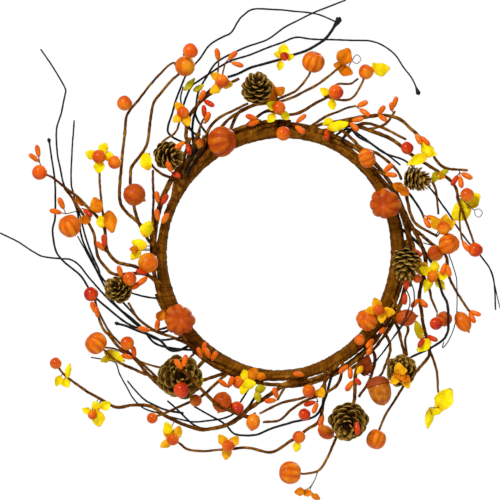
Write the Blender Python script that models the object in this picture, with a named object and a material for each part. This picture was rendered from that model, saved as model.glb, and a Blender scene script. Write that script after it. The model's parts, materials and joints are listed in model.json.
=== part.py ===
"""Harvest door wreath: a taped wire ring with wired twigs, vines, foam pumpkins, berries and pine cones.

Metres, +Z up. The wreath hangs upright in the XZ plane with its front towards -Y. The origin is the
hanger's seat, the inner top of the taped ring, so the ring's centre is straight below it.
Sizes are written in millimetres and turned into metres by MM where a mesh is made.
"""

import math
from dataclasses import dataclass

import bmesh
import bpy
from mathutils import Matrix, Vector

MM = 0.001

# The ring
RING_RADIUS = 108.0  # centreline of the hoop
LAYOUT_RADIUS = 108.0  # the hoop radius that the layout's x and z values below are drawn around
HOOP_WIRE_RADIUS = 1.6
WRAP_RADIUS = 6.5  # outside of the tape, over the corners of its section
WRAP_BORE_GAP = 0.5  # between the hoop wire and the tape around it
WRAP_SIDES = 8
RING_STEPS = 48
WRAP_SPLICE = 2.0  # degrees left open where the tape's two ends meet
WRAP_SPLICE_CLOCK = 332.0

# Twigs, vines and their wire
CLEARANCE = 0.3  # between pieces that touch on the real wreath
PICK_WIRE_RADIUS = 0.8  # bare wire end that is pushed into a pumpkin, berry or cone
SOCKET_DEPTH = 4.0
LEAD_LENGTH = 4.0  # straight wire in front of a socket
TWIG_RADIUS = 1.4
MAIN_TWIG_RADIUS = 1.8
SPRIG_RADIUS = 1.1
VINE_RADIUS = 0.9
VINE_TIP_RADIUS = 0.6
ROOT_SWEEP = 4.0  # degrees of the ring that a root is taped along
BEND_GAP = 1.0  # at the bend where a sprig leaves its twig
CURVE_STEPS = 2  # straight pieces between two of a route's points

# Pine cones
CONE_TIERS = 6
CONE_SIDES = 12
CONE_SCALE_DEPTH = 0.78  # inner radius of a tier over its outer radius

# Pumpkins, berries and the acorn
PUMPKIN_LOBES = 8
PUMPKIN_RINGS = 6
PUMPKIN_GROOVE = 0.9  # radius in a groove over the radius on a lobe
BERRY_SIDES = 8
BERRY_RINGS = 5
ACORN_SIDES = 12
ACORN_CAP_SHARE = 0.36  # height of the cap over the acorn's height
ACORN_NUT_SHARE = 0.86  # width of the nut over the cap's width

FINISHES = {
    "steel_wire": ((0.20, 0.19, 0.18), 0.45, 0.9),
    "olive_tape": ((0.17, 0.09, 0.015), 0.85, 0.0),
    "brown_twig": ((0.10, 0.035, 0.012), 0.8, 0.0),
    "black_vine": ((0.008, 0.009, 0.006), 0.6, 0.0),
    "pumpkin_orange": ((0.58, 0.17, 0.012), 0.5, 0.0),
    "pumpkin_rust": ((0.45, 0.11, 0.008), 0.55, 0.0),
    "berry_orange": ((0.75, 0.16, 0.012), 0.3, 0.0),
    "berry_red": ((0.62, 0.05, 0.01), 0.3, 0.0),
    "cone_brown": ((0.13, 0.065, 0.022), 0.75, 0.0),
    "acorn_brown": ((0.27, 0.09, 0.012), 0.4, 0.0),
}


@dataclass(frozen=True)
class Ornament:
    """A piece on a wire. Its axis runs from its wire end to its tip: clock degrees, lifted to the front."""

    name: str
    kind: str
    finish: str
    width: float
    height: float
    x: float
    z: float
    forward: float
    clock: float
    lift: float = 0.0


@dataclass(frozen=True)
class Stem:
    """A taped or bare stem through hand-set points (x, z, forward), from its root to its tip.

    A stem with a root_clock starts on the ring's tape, at root_seat degrees round its section from
    straight outwards to the front. One without starts at a bend and is a sprig. ends_in names the
    ornament that its wire goes into.
    """

    name: str
    finish: str
    root_radius: float
    tip_radius: float
    route: tuple
    root_clock: float | None = None
    root_seat: float = 0.0
    ends_in: str = ""


ON_RING = -1.0  # a forward value that sets an ornament on the front of the tape

ORNAMENTS = (
    # Foam pumpkins and gourds
    Ornament("pumpkin_ring_upper_left", "pumpkin", "pumpkin_rust", 27, 24, -53, 101, ON_RING, 80, 35),
    Ornament("pumpkin_ring_right", "pumpkin", "pumpkin_rust", 28, 23, 93, 45, ON_RING, 250, 75),
    Ornament("pumpkin_ring_lower_left", "pumpkin", "pumpkin_rust", 28, 22, -91, -59, ON_RING, 45, 85),
    Ornament("pumpkin_ring_lower_right", "pumpkin", "pumpkin_orange", 20, 18, 77, -59, ON_RING, 300, 50),
    Ornament("pumpkin_top", "pumpkin", "pumpkin_orange", 20, 19, 29, 172, 18, 20, 20),
    Ornament("pumpkin_far_left", "pumpkin", "pumpkin_orange", 21, 19, -189, 25, 26, 330, 30),
    Ornament("pumpkin_low_left", "pumpkin", "pumpkin_orange", 20, 18, -166, -80, 16, 310, 20),
    Ornament("pumpkin_upper_right", "pumpkin", "pumpkin_orange", 18, 15, 77, 86, 15, 70, 15),
    Ornament("pumpkin_bottom", "pumpkin", "pumpkin_orange", 20, 20, 8, -196, 14, 275, 15),
    Ornament("pumpkin_bottom_right", "pumpkin", "pumpkin_orange", 18, 18, 85, -166, 16, 200, 15),
    Ornament("pumpkin_right", "pumpkin", "pumpkin_orange", 19, 18, 150, 9, 22, 60, 40),
    Ornament("pumpkin_right_low", "pumpkin", "pumpkin_rust", 14, 13, 146, -58, 22, 120, 40),
    Ornament("gourd_left", "gourd", "pumpkin_rust", 18, 21, -131, 53, 20, 40, 20),
    Ornament("gourd_right_dark", "gourd", "pumpkin_rust", 15, 20, 112, -57, 24, 80, 10),
    Ornament("gourd_right_long", "gourd", "pumpkin_orange", 14, 21, 163, -61, 18, 150, 15),
    Ornament("gourd_bottom_left", "gourd", "pumpkin_rust", 16, 20, -53, -134, 20, 10, 25),
    Ornament("ball_gourd_left", "berry", "pumpkin_orange", 18, 18, -119, -8, 18, 300, 40),
    Ornament("ball_gourd_arch", "berry", "pumpkin_orange", 18, 18, -86, 168, 26, 100, 10),
    # Berries
    Ornament("berry_left_tip", "berry", "berry_red", 13.5, 13.5, -216, 73, 24, 290, 10),
    Ornament("berry_arch", "berry", "berry_red", 13.5, 13.5, -81, 181, 38, 60, 10),
    Ornament("berry_top_tip", "berry", "berry_orange", 13.5, 13.5, 76, 163, 20, 20, 10),
    Ornament("berry_top_right", "berry", "berry_red", 13.5, 13.5, 49, 145, 20, 60, 30),
    Ornament("berry_ring_top", "berry", "berry_orange", 13, 13, 2, 108, ON_RING, 0, 80),
    Ornament("berry_right_tip", "berry", "berry_red", 13, 13, 174, 4, 18, 165, 5),
    Ornament("berry_low_left_tip", "berry", "berry_orange", 10.5, 10.5, -202, -98, 16, 325, 5),
    # Pine cones and the acorn
    Ornament("cone_upper_left", "cone", "cone_brown", 26, 27, -100, 88, 22, 250, 50),
    Ornament("cone_top", "cone", "cone_brown", 29, 28, -22, 149, 22, 10, 75),
    Ornament("cone_right_upper", "cone", "cone_brown", 23, 27, 121, 67, 22, 105, 10),
    Ornament("cone_ring_right", "cone", "cone_brown", 27, 32, 112, -9, ON_RING, 185, 15),
    Ornament("cone_left", "cone", "cone_brown", 25, 25, -146, -31, 20, 320, 65),
    Ornament("cone_lower_left", "cone", "cone_brown", 39, 34, -91, -110, 26, 20, 80),
    Ornament("cone_lower_right", "cone", "cone_brown", 29, 28, 108, -104, 23, 330, 70),
    Ornament("cone_bottom", "cone", "cone_brown", 35, 32, 60, -150, 25, 200, 70),
    Ornament("acorn", "acorn", "acorn_brown", 20, 27, 88, -122, 33, 165, 10),
)

STEMS = (
    # Fixed twigs, taped to the ring
    Stem("twig_left", "brown_twig", TWIG_RADIUS, SPRIG_RADIUS,
         ((-130, -12, 6), (-147, -7, 8), (-156, 4, 10), (-158, 22, 11), (-165, 33, 12), (-181, 50, 13), (-192, 58, 14)),
         257, 30),
    Stem("twig_arch", "brown_twig", TWIG_RADIUS, SPRIG_RADIUS,
         ((-117, 18, 7), (-128, 28, 7), (-138, 36, 7), (-145, 47, 8), (-144, 67, 9), (-142, 94, 10), (-140, 110, 11)),
         271, 40),
    Stem("twig_top", "brown_twig", TWIG_RADIUS, SPRIG_RADIUS,
         ((-39, 126, 4), (-25, 134, 4), (-10, 137, 5)), 335, 30),
    Stem("twig_top_right", "brown_twig", TWIG_RADIUS, SPRIG_RADIUS,
         ((-15, 128, 2), (2, 126, 3), (12, 126, 4), (21, 129, 5), (32, 136, 7), (42, 141, 8)), 341, 0),
    Stem("twig_right", "brown_twig", MAIN_TWIG_RADIUS, SPRIG_RADIUS,
         ((58, 115, 6), (71, 114, 8), (97, 104, 9), (118, 89, 9), (141, 74, 10), (151, 67, 11), (157, 58, 12), (159, 49, 13)),
         17, 30),
    Stem("twig_right_lower", "brown_twig", MAIN_TWIG_RADIUS, SPRIG_RADIUS,
         ((118, 24, 4), (127, 8, 5), (130, -11, 6), (126, -24, 6), (124, -41, 6), (127, -57, 6), (130, -74, 6),
          (133, -90, 6), (124, -103, 6), (112, -116, 7)), 66, 20),
    Stem("twig_bottom", "brown_twig", MAIN_TWIG_RADIUS, SPRIG_RADIUS,
         ((67, -108, 2), (66, -130, 3), (58, -154, 4), (49, -165, 6)), 141, 0),
    Stem("twig_bottom_left", "brown_twig", MAIN_TWIG_RADIUS, SPRIG_RADIUS,
         ((-17, -131, 4), (-28, -139, 6), (-40, -149, 7), (-55, -156, 8), (-71, -158, 9), (-88, -153, 9),
          (-103, -146, 9), (-117, -137, 9), (-135, -136, 9), (-147, -138, 10), (-159, -132, 11), (-175, -123, 12)),
         177, 20),
    Stem("twig_low_left", "brown_twig", TWIG_RADIUS, SPRIG_RADIUS,
         ((-86, -118, 1), (-108, -114, 3), (-121, -108, 5), (-141, -100, 7)), 204, 0),
    # Sprigs that bend where they leave their twig
    Stem("sprig_left_tip", "brown_twig", SPRIG_RADIUS, PICK_WIRE_RADIUS, ((-193, 59, 14), (-204, 68, 20)),
         ends_in="berry_left_tip"),
    Stem("sprig_arch", "brown_twig", SPRIG_RADIUS, PICK_WIRE_RADIUS,
         ((-140, 111, 11), (-138, 125, 13), (-127, 139, 17), (-115, 154, 21)), ends_in="ball_gourd_arch"),
    Stem("sprig_top", "brown_twig", SPRIG_RADIUS, PICK_WIRE_RADIUS,
         ((-9, 137, 5), (4, 142, 7), (15, 148, 9)), ends_in="pumpkin_top"),
    Stem("sprig_top_tip", "brown_twig", SPRIG_RADIUS, PICK_WIRE_RADIUS,
         ((43, 141, 8), (56, 138, 11), (65, 141, 14)), ends_in="berry_top_tip"),
    Stem("sprig_right_tip", "brown_twig", SPRIG_RADIUS, PICK_WIRE_RADIUS,
         ((159, 48, 13), (164, 34, 15)), ends_in="berry_right_tip"),
    Stem("sprig_bottom_right", "brown_twig", SPRIG_RADIUS, PICK_WIRE_RADIUS,
         ((111, -117, 7), (103, -130, 8), (94, -144, 10)), ends_in="pumpkin_bottom_right"),
    Stem("sprig_bottom", "brown_twig", SPRIG_RADIUS, PICK_WIRE_RADIUS,
         ((49, -166, 6), (42, -182, 8), (34, -194, 10)), ends_in="pumpkin_bottom"),
    Stem("sprig_low_left_tip", "brown_twig", SPRIG_RADIUS, PICK_WIRE_RADIUS,
         ((-176, -122, 12), (-190, -112, 14)), ends_in="berry_low_left_tip"),
    Stem("sprig_low_left", "brown_twig", SPRIG_RADIUS, PICK_WIRE_RADIUS,
         ((-142, -99, 7), (-149, -95, 9)), ends_in="pumpkin_low_left"),
    # Long black vines, free at their tips
    Stem("vine_left_high", "black_vine", VINE_RADIUS, VINE_TIP_RADIUS,
         ((-110, -82, 3), (-127, -65, 3), (-152, -41, 3), (-165, -15, 3), (-178, 12, 3), (-184, 40, 3), (-196, 66, 3),
          (-201, 91, 3), (-202, 111, 3), (-197, 128, 3), (-194, 143, 3), (-195, 150, 3), (-205, 168, 3), (-216, 184, 3)),
         221, 20),
    Stem("vine_left_far", "black_vine", VINE_RADIUS, VINE_TIP_RADIUS,
         ((-110, -77, 0), (-127, -66, -1), (-153, -43, -1), (-172, -22, -1), (-181, -11, -1), (-190, -5, -1), (-198, -4, -1),
          (-214, -2, 0), (-222, 2, 0), (-239, 12, 1), (-253, 19, 2)), 229, -20),
    Stem("vine_top_outer", "black_vine", VINE_RADIUS, VINE_TIP_RADIUS,
         ((-86, 100, 2), (-99, 106, 2), (-101, 116, 2), (-92, 146, 0), (-86, 160, 0), (-76, 173, 0), (-66, 186, 0),
          (-54, 194, 0), (-46, 199, 0), (-39, 209, 0), (-33, 215, 1), (-23, 220, 2), (4, 219, 3), (31, 216, 4), (49, 209, 4)),
         325, 20),
    Stem("vine_top_high", "black_vine", VINE_RADIUS, VINE_TIP_RADIUS,
         ((-76, 123, 3), (-76, 135, 3), (-72, 150, 4), (-66, 161, 4), (-58, 172, 4), (-39, 183, 4), (-12, 193, 5),
          (4, 204, 6), (30, 217, 8), (58, 228, 9)), 328, 0),
    Stem("vine_top_long", "black_vine", VINE_RADIUS, VINE_TIP_RADIUS,
         ((-84, 114, 6), (-89, 126, 6), (-82, 148, 7), (-73, 156, 8), (-50, 171, 8), (-26, 180, 8), (-1, 189, 8),
          (13, 194, 8), (28, 193, 8), (66, 192, 8), (85, 190, 8), (101, 180, 8), (110, 168, 8), (118, 157, 8), (124, 143, 8)),
         327, 55),
    Stem("vine_right", "black_vine", VINE_RADIUS, VINE_TIP_RADIUS,
         ((62, 112, 1), (82, 98, 2), (97, 89, 2), (115, 82, 2), (130, 64, 2), (147, 41, 2), (157, 27, 2), (169, 10, 2),
          (179, -1, 2), (189, -16, 2), (192, -32, 2), (193, -50, 2)), 24, 0),
)


def hang(x, z, forward):
    """A point in millimetres, from its place round the hoop's centre. A larger hoop moves it outwards."""
    reach = math.hypot(x, z)
    spread = 1 + (RING_RADIUS - LAYOUT_RADIUS) / reach
    return Vector((x * spread, -forward, z * spread - ring_inner_radius()))


def wrap_flat():
    """Half the tape's depth over the flats of its section."""
    return WRAP_RADIUS * math.cos(math.pi / WRAP_SIDES)


def ring_inner_radius():
    """From the hoop's centre to the tape's inner flat, where the wreath sits on its hanger."""
    return RING_RADIUS - wrap_flat()


def ring_point(clock, outward=0.0, forward=0.0):
    """A point at a clock angle on the hoop, moved outwards and to the front."""
    angle = math.radians(clock)
    reach = RING_RADIUS + outward
    return Vector((reach * math.sin(angle), -forward, reach * math.cos(angle) - ring_inner_radius()))


def axis_of(ornament):
    clock, lift = math.radians(ornament.clock), math.radians(ornament.lift)
    return Vector((math.sin(clock) * math.cos(lift), -math.sin(lift), math.cos(clock) * math.cos(lift)))


def centre_of(ornament):
    forward = ornament.forward
    if forward == ON_RING:
        forward = wrap_flat() + CLEARANCE + max(ornament.width, ornament.height) / 2
    return hang(ornament.x, ornament.z, forward)


def finish_material(name):
    """The Principled material of a finish, made once."""
    material = bpy.data.materials.get(name)
    if material:
        return material
    color, roughness, metallic = FINISHES[name]
    material = bpy.data.materials.new(name)
    material.use_nodes = True
    shader = material.node_tree.nodes["Principled BSDF"]
    shader.inputs["Base Color"].default_value = (*color, 1)
    shader.inputs["Roughness"].default_value = roughness
    shader.inputs["Metallic"].default_value = metallic
    return material


def add_object(name, data, finish, origin):
    """An object in the scene with its own copy of a finish. origin is in millimetres."""
    thing = bpy.data.objects.new(name, data)
    bpy.context.scene.collection.objects.link(thing)
    material = finish_material(finish).copy()
    material.name = f"{name}_{finish}"
    data.materials.append(material)
    thing.location = origin * MM
    return thing


def mesh_from(name, shape):
    """A mesh in metres from a bmesh in millimetres."""
    bmesh.ops.scale(shape, vec=(MM, MM, MM), verts=shape.verts)
    mesh = bpy.data.meshes.new(name)
    shape.to_mesh(mesh)
    shape.free()
    mesh.shade_smooth()
    return mesh


def join_rings(shape, rings, closed):
    """Quads between neighbouring rings of vertices, and between the last and the first when closed."""
    pairs = list(zip(rings, rings[1:]))
    if closed:
        pairs.append((rings[-1], rings[0]))
    for low, high in pairs:
        for i in range(len(low)):
            j = (i + 1) % len(low)
            shape.faces.new((low[i], low[j], high[j], high[i]))


def close_end(shape, ring, apex_height):
    """A fan from a ring to a point on the axis at apex_height."""
    apex = shape.verts.new((0, 0, apex_height))
    for i in range(len(ring)):
        shape.faces.new((ring[i], ring[(i + 1) % len(ring)], apex))


def turned_shape(outline, sides, spread):
    """A closed solid round Z with a socket for its wire in its lower end.

    outline runs from the socket's mouth over the outside to the top. spread gives the share of the
    radius for a side and an outline index, so that lobes and scales stand out.
    """
    shape = bmesh.new()
    socket_radius = PICK_WIRE_RADIUS + CLEARANCE
    bottom = outline[0][1]
    rings = []
    for index, (radius, height, shaped) in enumerate(
        [(socket_radius, bottom + SOCKET_DEPTH, False), (socket_radius, bottom, False)]
        + [(radius, height, True) for radius, height in outline[1:-1]]
    ):
        ring = []
        for side in range(sides):
            angle = 2 * math.pi * side / sides
            reach = radius * spread(side, index) if shaped else radius
            ring.append(shape.verts.new((reach * math.cos(angle), reach * math.sin(angle), height)))
        rings.append(ring)
    join_rings(shape, rings, closed=False)
    close_end(shape, rings[-1], outline[-1][1])
    close_end(shape, rings[0][::-1], bottom + SOCKET_DEPTH)
    bmesh.ops.recalc_face_normals(shape, faces=shape.faces)
    return shape


def round_outline(width, height, rings):
    """Half of an ellipse, from the socket's mouth at the bottom to the top."""
    mouth = PICK_WIRE_RADIUS + CLEARANCE
    points = []
    for step in range(rings + 1):
        angle = math.pi * step / rings
        points.append((max(width / 2 * math.sin(angle), mouth), -height / 2 * math.cos(angle)))
    return points


def pumpkin_shape(width, height):
    """A ribbed foam pumpkin with lobes and grooves, dished at its top."""
    outline = round_outline(width, height, PUMPKIN_RINGS)
    outline[-1] = (0, height * 0.4)
    return turned_shape(outline, 2 * PUMPKIN_LOBES, lambda side, _: 1 if side % 2 else PUMPKIN_GROOVE)


def gourd_shape(width, height):
    """A gourd that narrows to a blunt neck at its wire end."""
    belly = height * 0.18
    outline = [
        (0, -height / 2),
        (width * 0.16, -height / 2),
        (width * 0.22, -height * 0.32),
        (width * 0.42, -height * 0.08),
        (width / 2, belly),
        (width * 0.38, height * 0.38),
        (0, height / 2),
    ]
    return turned_shape(outline, 2 * PUMPKIN_LOBES, lambda side, _: 1 if side % 2 else PUMPKIN_GROOVE)


def berry_shape(width, height):
    return turned_shape(round_outline(width, height, BERRY_RINGS), BERRY_SIDES, lambda side, _: 1)


def cone_shape(width, height):
    """A pine cone in tiers whose scales are staggered from one tier to the next."""
    outline = [(0, -height / 2)]
    for tier in range(CONE_TIERS):
        share = (tier + 0.5) / CONE_TIERS
        reach = width / 2 * math.sin(math.pi * (0.18 + 0.74 * share)) ** 0.8
        foot = -height / 2 + height * tier / CONE_TIERS
        outline.append((reach * CONE_SCALE_DEPTH, foot + height * 0.02))
        outline.append((reach, foot + height * 0.10))
    outline.append((0, height / 2))

    def scales(side, index):
        tier = (index - 2) // 2
        return 1 if (side + tier) % 2 else 0.86

    return turned_shape(outline, CONE_SIDES, scales)


def acorn_shape(width, height):
    """An acorn hanging by its cap: the cap, its rim and the pointed nut."""
    low = -height / 2
    rim = low + height * ACORN_CAP_SHARE
    nut = width / 2 * ACORN_NUT_SHARE
    outline = [
        (0, low),
        (width * 0.28, low + height * 0.04),
        (width * 0.46, rim * 0.45 + low * 0.55),
        (width / 2, rim - height * 0.04),
        (width * 0.47, rim),
        (nut, rim + height * 0.01),
        (nut, rim + height * 0.22),
        (nut * 0.72, height * 0.38),
        (0, height / 2),
    ]
    return turned_shape(outline, ACORN_SIDES, lambda side, _: 1)


SHAPES = {
    "pumpkin": pumpkin_shape,
    "gourd": gourd_shape,
    "berry": berry_shape,
    "cone": cone_shape,
    "acorn": acorn_shape,
}


def add_ornament(ornament):
    """An ornament turned so that its own +Z lies along its axis."""
    shape = SHAPES[ornament.kind](ornament.width, ornament.height)
    thing = add_object(ornament.name, mesh_from(ornament.name, shape), ornament.finish, centre_of(ornament))
    thing.rotation_mode = "QUATERNION"
    thing.rotation_quaternion = axis_of(ornament).to_track_quat("Z", "Y")
    return thing


def smooth_route(points, steps, approach=None):
    """Points on a Catmull-Rom curve through the given ones, heading on from approach when it is given."""
    before_first = approach or 2 * points[0] - points[1]
    padded = [before_first, *points, 2 * points[-1] - points[-2]]
    route = [points[0]]
    for before, start, end, after in zip(padded, padded[1:], padded[2:], padded[3:]):
        for step in range(1, steps + 1):
            t = step / steps
            route.append(
                0.5
                * (
                    2 * start
                    + (end - before) * t
                    + (2 * before - 5 * start + 4 * end - after) * t**2
                    + (3 * start - before - 3 * end + after) * t**3
                )
            )
    return route


def along_ring(clock):
    """The clockwise direction along the hoop."""
    angle = math.radians(clock)
    return Vector((math.cos(angle), 0, -math.sin(angle)))


def root_points(stem, first):
    """The start and end of the straight root that is taped along the ring, before the stem's first point."""
    seat = math.radians(stem.root_seat)
    stand_off = WRAP_RADIUS + CLEARANCE + stem.root_radius
    outward, forward = stand_off * math.cos(seat), stand_off * math.sin(seat)
    end = ring_point(stem.root_clock, outward, forward)
    side = math.copysign(ROOT_SWEEP, (first - end).dot(along_ring(stem.root_clock)))
    return ring_point(stem.root_clock - side, outward, forward), end


def route_of(stem, ornaments):
    """The stem's centreline in millimetres, from its root to its tip or to the bottom of its socket."""
    points = [hang(*point) for point in stem.route]
    root = []
    if stem.root_clock is not None:
        start, end = root_points(stem, points[0])
        root, points = [start], [end, *points]
    socket = []
    if stem.ends_in:
        ornament = ornaments[stem.ends_in]
        axis = axis_of(ornament)
        mouth = centre_of(ornament) - axis * ornament.height / 2
        points.append(mouth - axis * LEAD_LENGTH)
        socket = [mouth + axis * (SOCKET_DEPTH - CLEARANCE)]
    return [*root, *smooth_route(points, CURVE_STEPS, root[0] if root else None), *socket]


def add_stem(stem, ornaments):
    """A round tube along the stem's route, thinner towards its tip, with its origin at its root."""
    route = route_of(stem, ornaments)
    origin = route[0]
    curve = bpy.data.curves.new(stem.name, "CURVE")
    curve.dimensions = "3D"
    curve.bevel_depth = MM
    curve.bevel_resolution = 1
    curve.use_fill_caps = True
    spline = curve.splines.new("POLY")
    spline.points.add(len(route) - 1)
    for index, (point, place) in enumerate(zip(spline.points, route)):
        share = index / (len(route) - 1)
        point.co = (*((place - origin) * MM), 1)
        point.radius = stem.root_radius + (stem.tip_radius - stem.root_radius) * share
        if stem.ends_in and index >= len(route) - 2:
            point.radius = PICK_WIRE_RADIUS
    return add_object(stem.name, curve, stem.finish, origin)


def section_ring(shape, clock, radius, turn=0.5):
    """The corners of the tape's section at a clock angle. A flat of the section faces the door."""
    ring = []
    for side in range(WRAP_SIDES):
        angle = 2 * math.pi * (side + turn) / WRAP_SIDES
        place = ring_point(clock, radius * math.cos(angle), radius * math.sin(angle))
        ring.append(shape.verts.new(place))
    return ring


def add_hoop_wire():
    """The closed wire hoop inside the tape."""
    shape = bmesh.new()
    rings = [section_ring(shape, 360 * i / RING_STEPS, HOOP_WIRE_RADIUS) for i in range(RING_STEPS)]
    join_rings(shape, rings, closed=True)
    bmesh.ops.recalc_face_normals(shape, faces=shape.faces)
    return add_object("hoop_wire", mesh_from("hoop_wire", shape), "steel_wire", Vector())


def add_ring_wrap():
    """The tape round the hoop: a thick-walled tube with its splice open, so that the hoop's bore isn't sealed."""
    shape = bmesh.new()
    sweep = 360 - WRAP_SPLICE
    bore = (HOOP_WIRE_RADIUS + WRAP_BORE_GAP) / math.cos(math.pi / WRAP_SIDES)
    clocks = [WRAP_SPLICE_CLOCK + WRAP_SPLICE / 2 + sweep * i / RING_STEPS for i in range(RING_STEPS + 1)]
    outer = [section_ring(shape, clock, WRAP_RADIUS) for clock in clocks]
    inner = [section_ring(shape, clock, bore) for clock in clocks]
    join_rings(shape, outer, closed=False)
    join_rings(shape, inner[::-1], closed=False)
    for end in (0, -1):
        for i in range(WRAP_SIDES):
            j = (i + 1) % WRAP_SIDES
            shape.faces.new((outer[end][i], outer[end][j], inner[end][j], inner[end][i]))
    bmesh.ops.recalc_face_normals(shape, faces=shape.faces)
    return add_object("ring_wrap", mesh_from("ring_wrap", shape), "olive_tape", Vector())


# What each bending sprig carries besides the ornament on its wire
SPRIG_RIDERS = {"sprig_arch": ("berry_arch",)}


def hang_on_bend(stem, things, ornaments):
    """Parents a sprig and what it carries to an empty at the bend, halfway across the gap to its twig."""
    route = route_of(stem, ornaments)
    pull = (route[1] - route[0]).normalized()
    bend = bpy.data.objects.new(f"bend_of_{stem.name}", None)
    bpy.context.scene.collection.objects.link(bend)
    bend.location = (route[0] - pull * BEND_GAP / 2) * MM
    bend.empty_display_size = 5 * MM
    for name in (stem.name, stem.ends_in, *SPRIG_RIDERS.get(stem.name, ())):
        things[name].parent = bend
        things[name].matrix_parent_inverse = Matrix.Translation(-bend.location)


def clear_scene():
    for thing in list(bpy.data.objects):
        bpy.data.objects.remove(thing)


def main():
    clear_scene()
    ornaments = {ornament.name: ornament for ornament in ORNAMENTS}
    things = {"hoop_wire": add_hoop_wire(), "ring_wrap": add_ring_wrap()}
    for ornament in ORNAMENTS:
        things[ornament.name] = add_ornament(ornament)
    for stem in STEMS:
        things[stem.name] = add_stem(stem, ornaments)
    for stem in STEMS:
        if stem.root_clock is None:
            hang_on_bend(stem, things, ornaments)


main()
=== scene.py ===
"""Looks of the harvest door wreath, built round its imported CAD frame.

Metres, +Z up, front towards -Y. The tables are in millimetres round the hoop's centre: x to the
right, z up, and forward from the hoop's plane to the front. A clock is degrees round the hoop from
its top, clockwise as seen from the front.
"""

import sys
import json
import logging
import math
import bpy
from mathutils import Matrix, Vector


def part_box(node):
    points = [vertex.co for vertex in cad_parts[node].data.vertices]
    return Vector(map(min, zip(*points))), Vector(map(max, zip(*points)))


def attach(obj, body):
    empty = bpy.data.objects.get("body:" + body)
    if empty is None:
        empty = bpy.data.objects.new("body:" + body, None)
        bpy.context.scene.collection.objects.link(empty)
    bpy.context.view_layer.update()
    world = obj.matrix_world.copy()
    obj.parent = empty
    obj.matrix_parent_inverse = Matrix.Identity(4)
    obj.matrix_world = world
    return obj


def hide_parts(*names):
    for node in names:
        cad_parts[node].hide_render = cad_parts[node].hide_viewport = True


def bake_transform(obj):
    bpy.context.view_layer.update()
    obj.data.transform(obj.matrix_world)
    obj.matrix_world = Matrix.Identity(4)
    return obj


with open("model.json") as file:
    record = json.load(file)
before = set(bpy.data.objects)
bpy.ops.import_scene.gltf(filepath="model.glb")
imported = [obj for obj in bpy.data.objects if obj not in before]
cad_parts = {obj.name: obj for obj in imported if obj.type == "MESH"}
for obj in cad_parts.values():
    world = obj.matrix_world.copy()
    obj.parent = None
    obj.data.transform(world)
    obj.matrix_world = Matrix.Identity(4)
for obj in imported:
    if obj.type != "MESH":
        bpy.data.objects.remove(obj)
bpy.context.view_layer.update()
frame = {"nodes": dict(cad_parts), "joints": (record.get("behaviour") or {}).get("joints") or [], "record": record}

import zlib
from collections.abc import Iterable, Sequence
from dataclasses import dataclass, field
from enum import Enum

import bpy
import numpy as np
from mathutils import Vector

MM = 0.001
ROUND = 2 * math.pi  # once round, in radians
LOG = logging.getLogger("wreath")
WREATH = "wreath"
FRONT = np.array((0.0, -1.0, 0.0))


class Tone(Enum):
    """The dye or lacquer of a small piece."""

    ORANGE = "orange"
    RED = "red"
    YELLOW = "yellow"
    GOLD = "gold"
    OLIVE = "olive"
    RUST = "rust"


class Bark(Enum):
    """What a stem is wrapped or dipped in."""

    TWIG = "brown_twig"
    VINE = "black_vine"
    WIRE = "florist_wire"


class Kind(Enum):
    """The shape of an ornament."""

    PUMPKIN = "pumpkin"
    GOURD = "gourd"
    BALL = "ball"
    BERRY = "berry"
    CONE = "cone"
    ACORN = "acorn"


def seed_of(name: str) -> int:
    """A steady seed for a piece's own irregularities."""
    return zlib.crc32(name.encode())


def linear(code: str) -> tuple[float, float, float, float]:
    """Turns an sRGB hex colour into Blender's linear one.

    Args:
        code: Six hex digits, with or without a hash.

    Returns:
        Red, green, blue and an alpha of one.
    """
    code = code.lstrip("#")
    parts = [int(code[i:i + 2], 16) / 255 for i in (0, 2, 4)]
    bent = [c / 12.92 if c <= 0.04045 else ((c + 0.055) / 1.055) ** 2.4 for c in parts]
    return (bent[0], bent[1], bent[2], 1.0)


def add_node(tree: bpy.types.NodeTree, kind: str, sockets: dict | None = None,
             stops: Sequence[tuple[float, str]] = (), **settings: object) -> bpy.types.Node:
    """Adds one shader node with its settings, socket values and links.

    Args:
        tree: The material's or world's node tree.
        kind: The node's type without its ShaderNode prefix.
        sockets: Input name or index to a value, or to the output that feeds it.
        stops: Places and hex colours for a colour ramp.
        settings: The node's own properties.

    Returns:
        The new node.
    """
    node = tree.nodes.new("ShaderNode" + kind)
    for name, value in settings.items():
        setattr(node, name, value)
    for name, value in (sockets or {}).items():
        if isinstance(value, bpy.types.NodeSocket):
            tree.links.new(value, node.inputs[name])
        else:
            node.inputs[name].default_value = value
    if stops:
        ramp = node.color_ramp
        while len(ramp.elements) < len(stops):
            ramp.elements.new(0.5)
        for element, (place, code) in zip(ramp.elements, stops):
            element.position = place
            element.color = linear(code)
    return node


# ---------------------------------------------------------------- finishes


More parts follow.
